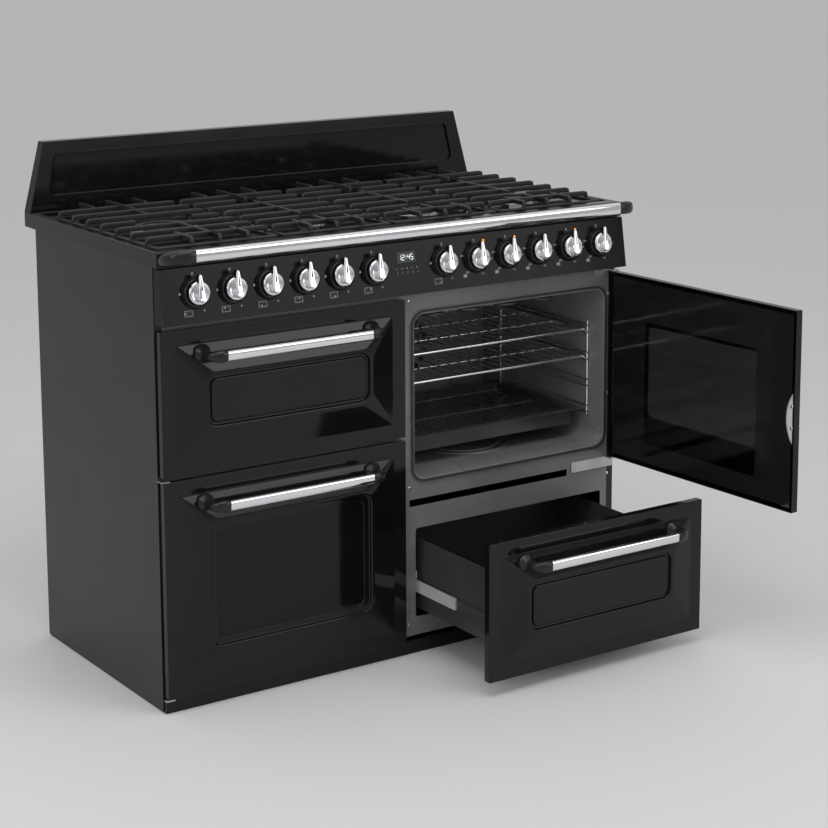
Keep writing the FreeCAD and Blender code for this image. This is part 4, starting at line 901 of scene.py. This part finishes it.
def oval_tube(shape, x0, x1, y, z, size):
    """A straight tube along X with its ends just broken."""
    across = Vector((0, 1, 0))
    ends = ((x0, tube_trim), (x0 + tube_trim, 0.0), (x1 - tube_trim, 0.0), (x1, tube_trim))
    loft(shape, [oval(Vector((x, y, z)), across, size[0] / 2 - trim, size[1] / 2 - trim,
                      tube_square) for x, trim in ends])


def casting(shape, stations, side):
    """A curved casting through (x, y, z, half across, half height, turn), mirrored by its side."""
    loops = []
    for x, y, z, half_across, half_height, turn in stations:
        angle = math.radians(turn)
        across = Vector((-math.sin(angle) * side, math.cos(angle), 0))
        middle = Vector((x * side, y, z))
        loops.append(oval(middle, across, half_across, half_height, casting_square))
    loft(shape, loops)


rail = bmesh.new()
oval_tube(rail, -rail_half, rail_half, rail_y, rail_z, rail_size)
add_piece("rail_bar", rail, chrome, "carcass", ["towel_rail"], crease=45.0)
rail_ends = bmesh.new()
rail_stations = [(rail_half, rail_y, rail_z, 7.2, 12.2, 0), (502.0, rail_y, rail_z, 7.9, 12.7, 0),
                 (512.0, -353.6, 896.8, 8.6, 13.3, 6), (523.0, -351.0, 896.2, 9.6, 13.4, 24),
                 (532.0, -345.0, 895.0, 10.0, 13.2, 45), (538.5, -336.0, 893.0, 10.2, 12.9, 68),
                 (541.0, -322.0, 889.5, 10.4, 12.2, 86), (539.5, -310.0, 886.4, 11.0, 11.7, 98),
                 (537.0, -304.0, 885.2, 12.0, 12.0, 92), (536.0, -300.2, 885.0, 12.0, 12.0, 90)]
for side in (-1, 1):
    casting(rail_ends, rail_stations, side)
add_piece("rail_end_castings", rail_ends, black_plastic, "carcass", crease=45.0)

# ---- Pressed door and drawer fronts --------------------------------------------------------------
# Deep-drawn steel sheet, enamelled black: a flat margin, a long slope up to a lip, a groove, and
# a sunk middle panel or a window opening. The right door stands open on its hinge pins, and the
# drawer is pulled out on its runners.
front_y = -300.0
front_back = 16.0            # depth of the return flange
door_top = 749.5
fronts = {                   # x from and to, z from and to
    "upper": (-547.0, -3.0, 467.0, door_top),
    "lower": (-547.0, -3.0, 31.0, 459.5),
    "right": (3.0, 547.0, 340.0, door_top),
    "drawer": (4.0, 546.0, 31.0, 312.0),
}
margin_and_slope = [         # in from the edge, height over the flat margin, rounding
    (0, -front_back, 0), (0, 0, 1.5), (30, 0, 2.5), (86, 13, 4.0), (92, 13, 3.0), (92.6, 6, 2.0)]
panel_line = margin_and_slope + [(98.4, 6, 1.5), (99.2, 11, 2.5), (104, 11, 0)]
panel_inside = [(2, -front_back), (2, -2), (30, -2), (86, 11), (90.2, 11), (90.6, 4), (101, 4),
                (101.4, 9), (104, 9)]
window_line = margin_and_slope + [(105.4, 6, 1.0), (106, 4, 0)]
window_inside = [(90.6, 4), (90.2, 11), (86, 11), (30, -2), (2, -2), (2, -front_back)]
corner_sizes = (             # in from the edge, radius of the front's corners there
    (0, 2.0), (30, 4.0), (86, 26.0), (92, 20.0), (99, 13.0), (106, 15.0))
bend_share = 0.45            # a bend takes up to this share of the straight beside it


def softened(corners, steps=4):
    """A section line through (inset, height, radius) corners, with the corners rounded."""
    line = []
    for k, (inset, height, radius) in enumerate(corners):
        here = Vector((inset, height))
        if not radius:
            line.append(here)
            continue
        before = Vector(corners[k - 1][:2]) - here
        after = Vector(corners[k + 1][:2]) - here
        start = here + before.normalized() * min(radius, before.length * bend_share)
        end = here + after.normalized() * min(radius, after.length * bend_share)
        for n in range(steps + 1):
            t = n / steps
            line.append(start * (1 - t) ** 2 + here * (2 * t * (1 - t)) + end * t ** 2)
    return line


def corner_size(inset):
    """Radius of a front's corners, this far in from its edge."""
    for (a, low), (b, high) in zip(corner_sizes, corner_sizes[1:]):
        if inset <= b:
            return low + (high - low) * (inset - a) / (b - a)
    return corner_sizes[-1][1]


def rounded_loop(x0, x1, z0, z1, radius, y, steps=6):
    """Points round an upright rectangle with round corners."""
    points = []
    left, right, low, high = x0 + radius, x1 - radius, z0 + radius, z1 - radius
    for cx, cz, start in ((right, high, 0), (left, high, 90), (left, low, 180), (right, low, 270)):
        for k in range(steps + 1):
            a = math.radians(start + 90.0 * k / steps)
            points.append((cx + radius * math.cos(a), y, cz + radius * math.sin(a)))
    return points


def front_loops(span, line):
    """One loop round the front for each point of a section line."""
    x0, x1, z0, z1 = span
    return [rounded_loop(x0 + inset, x1 - inset, z0 + inset, z1 - inset, corner_size(inset),
                         front_y - height) for inset, height in line]


block_corner = 1.2


def block(shape, x0, x1, y0, y1, z0, z1, soft=0.6):
    """A solid block with its edges broken."""
    loft(shape, [rounded_loop(x0 + trim, x1 - trim, z0 + trim, z1 - trim, block_corner, y, 2)
                 for y, trim in ((y0, soft), (y0 + soft, 0.0), (y1 - soft, 0.0), (y1, soft))])


def notched(shape, cutter):
    """What is left of one closed shape when another is cut out of it."""
    solids = []
    for name, form in (("pressing", shape), ("notches", cutter)):
        bmesh.ops.recalc_face_normals(form, faces=form.faces)
        mesh = bpy.data.meshes.new(name)
        form.to_mesh(mesh)
        form.free()
        solids.append(add_object(name, mesh))
    cut = solids[0].modifiers.new("cut", "BOOLEAN")
    cut.operation = "DIFFERENCE"
    cut.solver = "EXACT"
    cut.object = solids[1]
    bpy.context.view_layer.update()
    made = solids[0].evaluated_get(bpy.context.evaluated_depsgraph_get())
    result = bmesh.new()
    result.from_mesh(bpy.data.meshes.new_from_object(made))
    for solid in solids:
        bpy.data.objects.remove(solid)
    return result


pin_inset = 2.2              # the pin blocks lie this far inside the pressing's outer faces
pin_block = (13.8, 5.3)      # width and height
notch_front = 2.0            # the notches leave the pressing's face whole,
notch_over = 1.0             # run past the flange behind and below,
notch_high = 3.0             # and reach this far up
notch_soft = 0.1
hinge_arm_notches = ((-524.5, -518.5), (-31.5, -25.5))     # in the drop-down door's lower flange
hinge = Vector(joints["right_door_hinge"]["pos_m"]) * metre
opened = math.radians(-joints["right_door_hinge"]["range_deg"][0])
door_swing = (Matrix.Translation((hinge.x, hinge.y, 0)) @ Matrix.Rotation(opened, 4, "Z")
              @ Matrix.Translation((-hinge.x, -hinge.y, 0)))
drawer_pull = Matrix.Translation((0, joints["drawer_slide"]["range_m"][0] * metre, 0))
places = {"upper": Matrix(), "lower": Matrix(), "right": door_swing, "drawer": drawer_pull}
owners = {"upper": "upper_left_door", "lower": "lower_left_door", "right": "right_door",
          "drawer": "drawer"}
skins = {"upper": "upper_door_skin", "lower": "lower_door_skin", "right": "right_door_skin",
         "drawer": "drawer_front"}
for key, (x0, x1, z0, z1) in fronts.items():
    front = bmesh.new()
    if key in ("upper", "drawer"):
        line = [tuple(point) for point in softened(panel_line)]
        loft(front, front_loops(fronts[key], list(reversed(line)) + panel_inside))
    else:
        line = [tuple(point) for point in softened(window_line)]
        loft(front, front_loops(fronts[key], line + window_inside), capped=False)
        pin_left = x1 - pin_inset - pin_block[0] if key == "right" else x0 + pin_inset
        for low in (z0 + pin_inset, z1 - pin_inset - pin_block[1]):
            block(front, pin_left, pin_left + pin_block[0], front_y + pin_inset,
                  front_y + front_back, low, low + pin_block[1])
    if key == "upper":
        notches = bmesh.new()
        for left, right in hinge_arm_notches:
            block(notches, left, right, front_y + notch_front, front_y + front_back + notch_over,
                  z0 - notch_over, z0 + notch_high, notch_soft)
        front = notched(front, notches)
    add_piece(f"{key}_front_pressing", front, black_enamel, owners[key],
              [skins[key]], places[key], crease=30.0)
refinish("upper_door_inner", side_paint)

# ---- Door and drawer handles ---------------------------------------------------------------------
# A chromed oval bar between two black castings, screwed on from inside the front. Each casting is a
# leaf that narrows outward from the bar's end and turns back to a round foot on the pressed slope.
handle_half = 161.0
handle_size = (12.0, 20.0)
handle_y = -352.0
handle_drop = 48.0
handle_parts = {"upper": "upper_door_handle", "lower": "lower_door_handle",
                "right": "right_door_handle", "drawer": "drawer_handle"}
leaf = [                     # out and back from the bar's end, half across, half height, turn
    (0, 0, 6.3, 10.3, 0), (1.2, 0, 7.0, 10.9, 0), (9, 0.3, 8.0, 11.8, 6), (18, 2.5, 8.4, 11.2, 24),
    (24.5, 8, 8.0, 9.6, 50), (27.6, 17, 7.4, 8.4, 78), (27.2, 28, 8.0, 8.8, 92),
    (27, 35, 10.5, 10.8, 90), (27, 40, 14.0, 14.2, 90), (27, 43, 16.2, 16.2, 90),
    (27, 45.5, 17.0, 17.0, 90), (27, 50, 17.0, 17.0, 90)]
for key, (x0, x1, z0, z1) in fronts.items():
    middle, z = (x0 + x1) / 2, z1 - handle_drop
    bar = bmesh.new()
    oval_tube(bar, middle - handle_half, middle + handle_half, handle_y, z, handle_size)
    add_piece(f"{key}_handle_bar", bar, chrome, owners[key], [handle_parts[key]],
              places[key], crease=45.0)
    leaf_stations = [(x + handle_half, y + handle_y, z, across, tall, turn)
                     for x, y, across, tall, turn in leaf]
    ends = bmesh.new()
    for side in (-1, 1):
        start = len(ends.verts)
        casting(ends, leaf_stations, side)
        moved(ends, start, Matrix.Translation((middle, 0, 0)))
    add_piece(f"{key}_handle_castings", ends, black_plastic, owners[key], (),
              places[key], crease=45.0)

# ---- Door glass and catch ------------------------------------------------------------------------
# Toughened panes, clipped behind the windows: smoked glass in the right door, and nearly black
# glass in the lower left one. The right door's inner pane has a pale grey printed border, and two
# bright screws hold a steel catch plate beside its free edge.
smoked_glass, pane_shader = new_material("smoked_glass")
pane_shader.inputs["Base Color"].default_value = (0.17, 0.17, 0.172, 1.0)
pane_shader.inputs["Transmission Weight"].default_value = 1.0
pane_shader.inputs["IOR"].default_value = 1.5
pane_life = add_node(smoked_glass.node_tree, "ShaderNodeGroup", node_tree=surface)
pane_rough = add_node(smoked_glass.node_tree, "ShaderNodeMapRange", {
    "Value": pane_life.outputs["Smear"], "To Min": 0.05, "To Max": 0.10})
smoked_glass.node_tree.links.new(pane_rough.outputs[0], pane_shader.inputs["Roughness"])
refinish("right_door_glass", smoked_glass)
refinish("lower_door_glass", dark_glass)

inner_pane_front = -289.0
print_front = inner_pane_front - 0.3
print_back = inner_pane_front - 0.05
border_outer = (13.0, 537.0, 350.0, 739.0, 3.0)       # x from, x to, z from, z to, corner
border_inner = (111.0, 438.0, 391.0, 655.0, 8.0)
border = bmesh.new()
loft(border, [rounded_loop(*edge, y) for edge, y in (
    (border_outer, print_front), (border_inner, print_front), (border_inner, print_back),
    (border_outer, print_back))], capped=False)
border_ink = finish("border_ink", (0.60, 0.60, 0.61), (0.64, 0.64, 0.65), (0.5, 0.6))
add_piece("right_door_printed_border", border, border_ink, "right_door", (),
          door_swing)

catch_x = (5.0, 33.0)
catch_half = 60.0
catch_low = 15.0             # its middle lies this far below the door's
catch_front = 2.5            # and its face this far behind the door's
catch_z = (fronts["right"][2] + fronts["right"][3]) / 2 - catch_low
catch = bmesh.new()
block(catch, *catch_x, front_y + catch_front, print_front, catch_z - catch_half,
      catch_z + catch_half)
add_piece("right_door_catch_plate", catch, side_paint, "right_door", (), door_swing)
catch_facing = door_swing.to_3x3() @ Vector((0, 1, 0))
catch_spots = [door_swing @ Vector((15.0, print_front, z)) for z in (555.0, 510.0)]
add_screws("catch_screws", "right_door", catch_spots, head=(4.0, 1.6), facing=catch_facing)

# ---- Drawer box, runners and hinges --------------------------------------------------------------
# A box folded from dark painted steel sheet, hung on bright zinc-plated ball-bearing runners, and
# hinge brackets bent from thick plate, which are screwed to the front frame.
runner_steel = finish("runner_steel", (0.88, 0.88, 0.89), (0.76, 0.76, 0.78), (0.3, 0.42),
                      metallic=0.5, grain=(200.0, 0.01), smear=30.0)
drawer_steel = finish("drawer_steel", (0.035, 0.035, 0.037), (0.045, 0.045, 0.047), (0.35, 0.48),
                      grain=(700.0, 0.02))
refinish("drawer_box", drawer_steel)
for piece in ("drawer_runners_fixed", "drawer_runners_middle"):
    refinish(piece, runner_steel)
hinge_steel = finish("hinge_steel", (0.50, 0.50, 0.51), (0.42, 0.42, 0.43), (0.28, 0.4),
                     metallic=0.9, grain=(300.0, 0.02), smear=30.0)
refinish("hinge_brackets", hinge_steel)
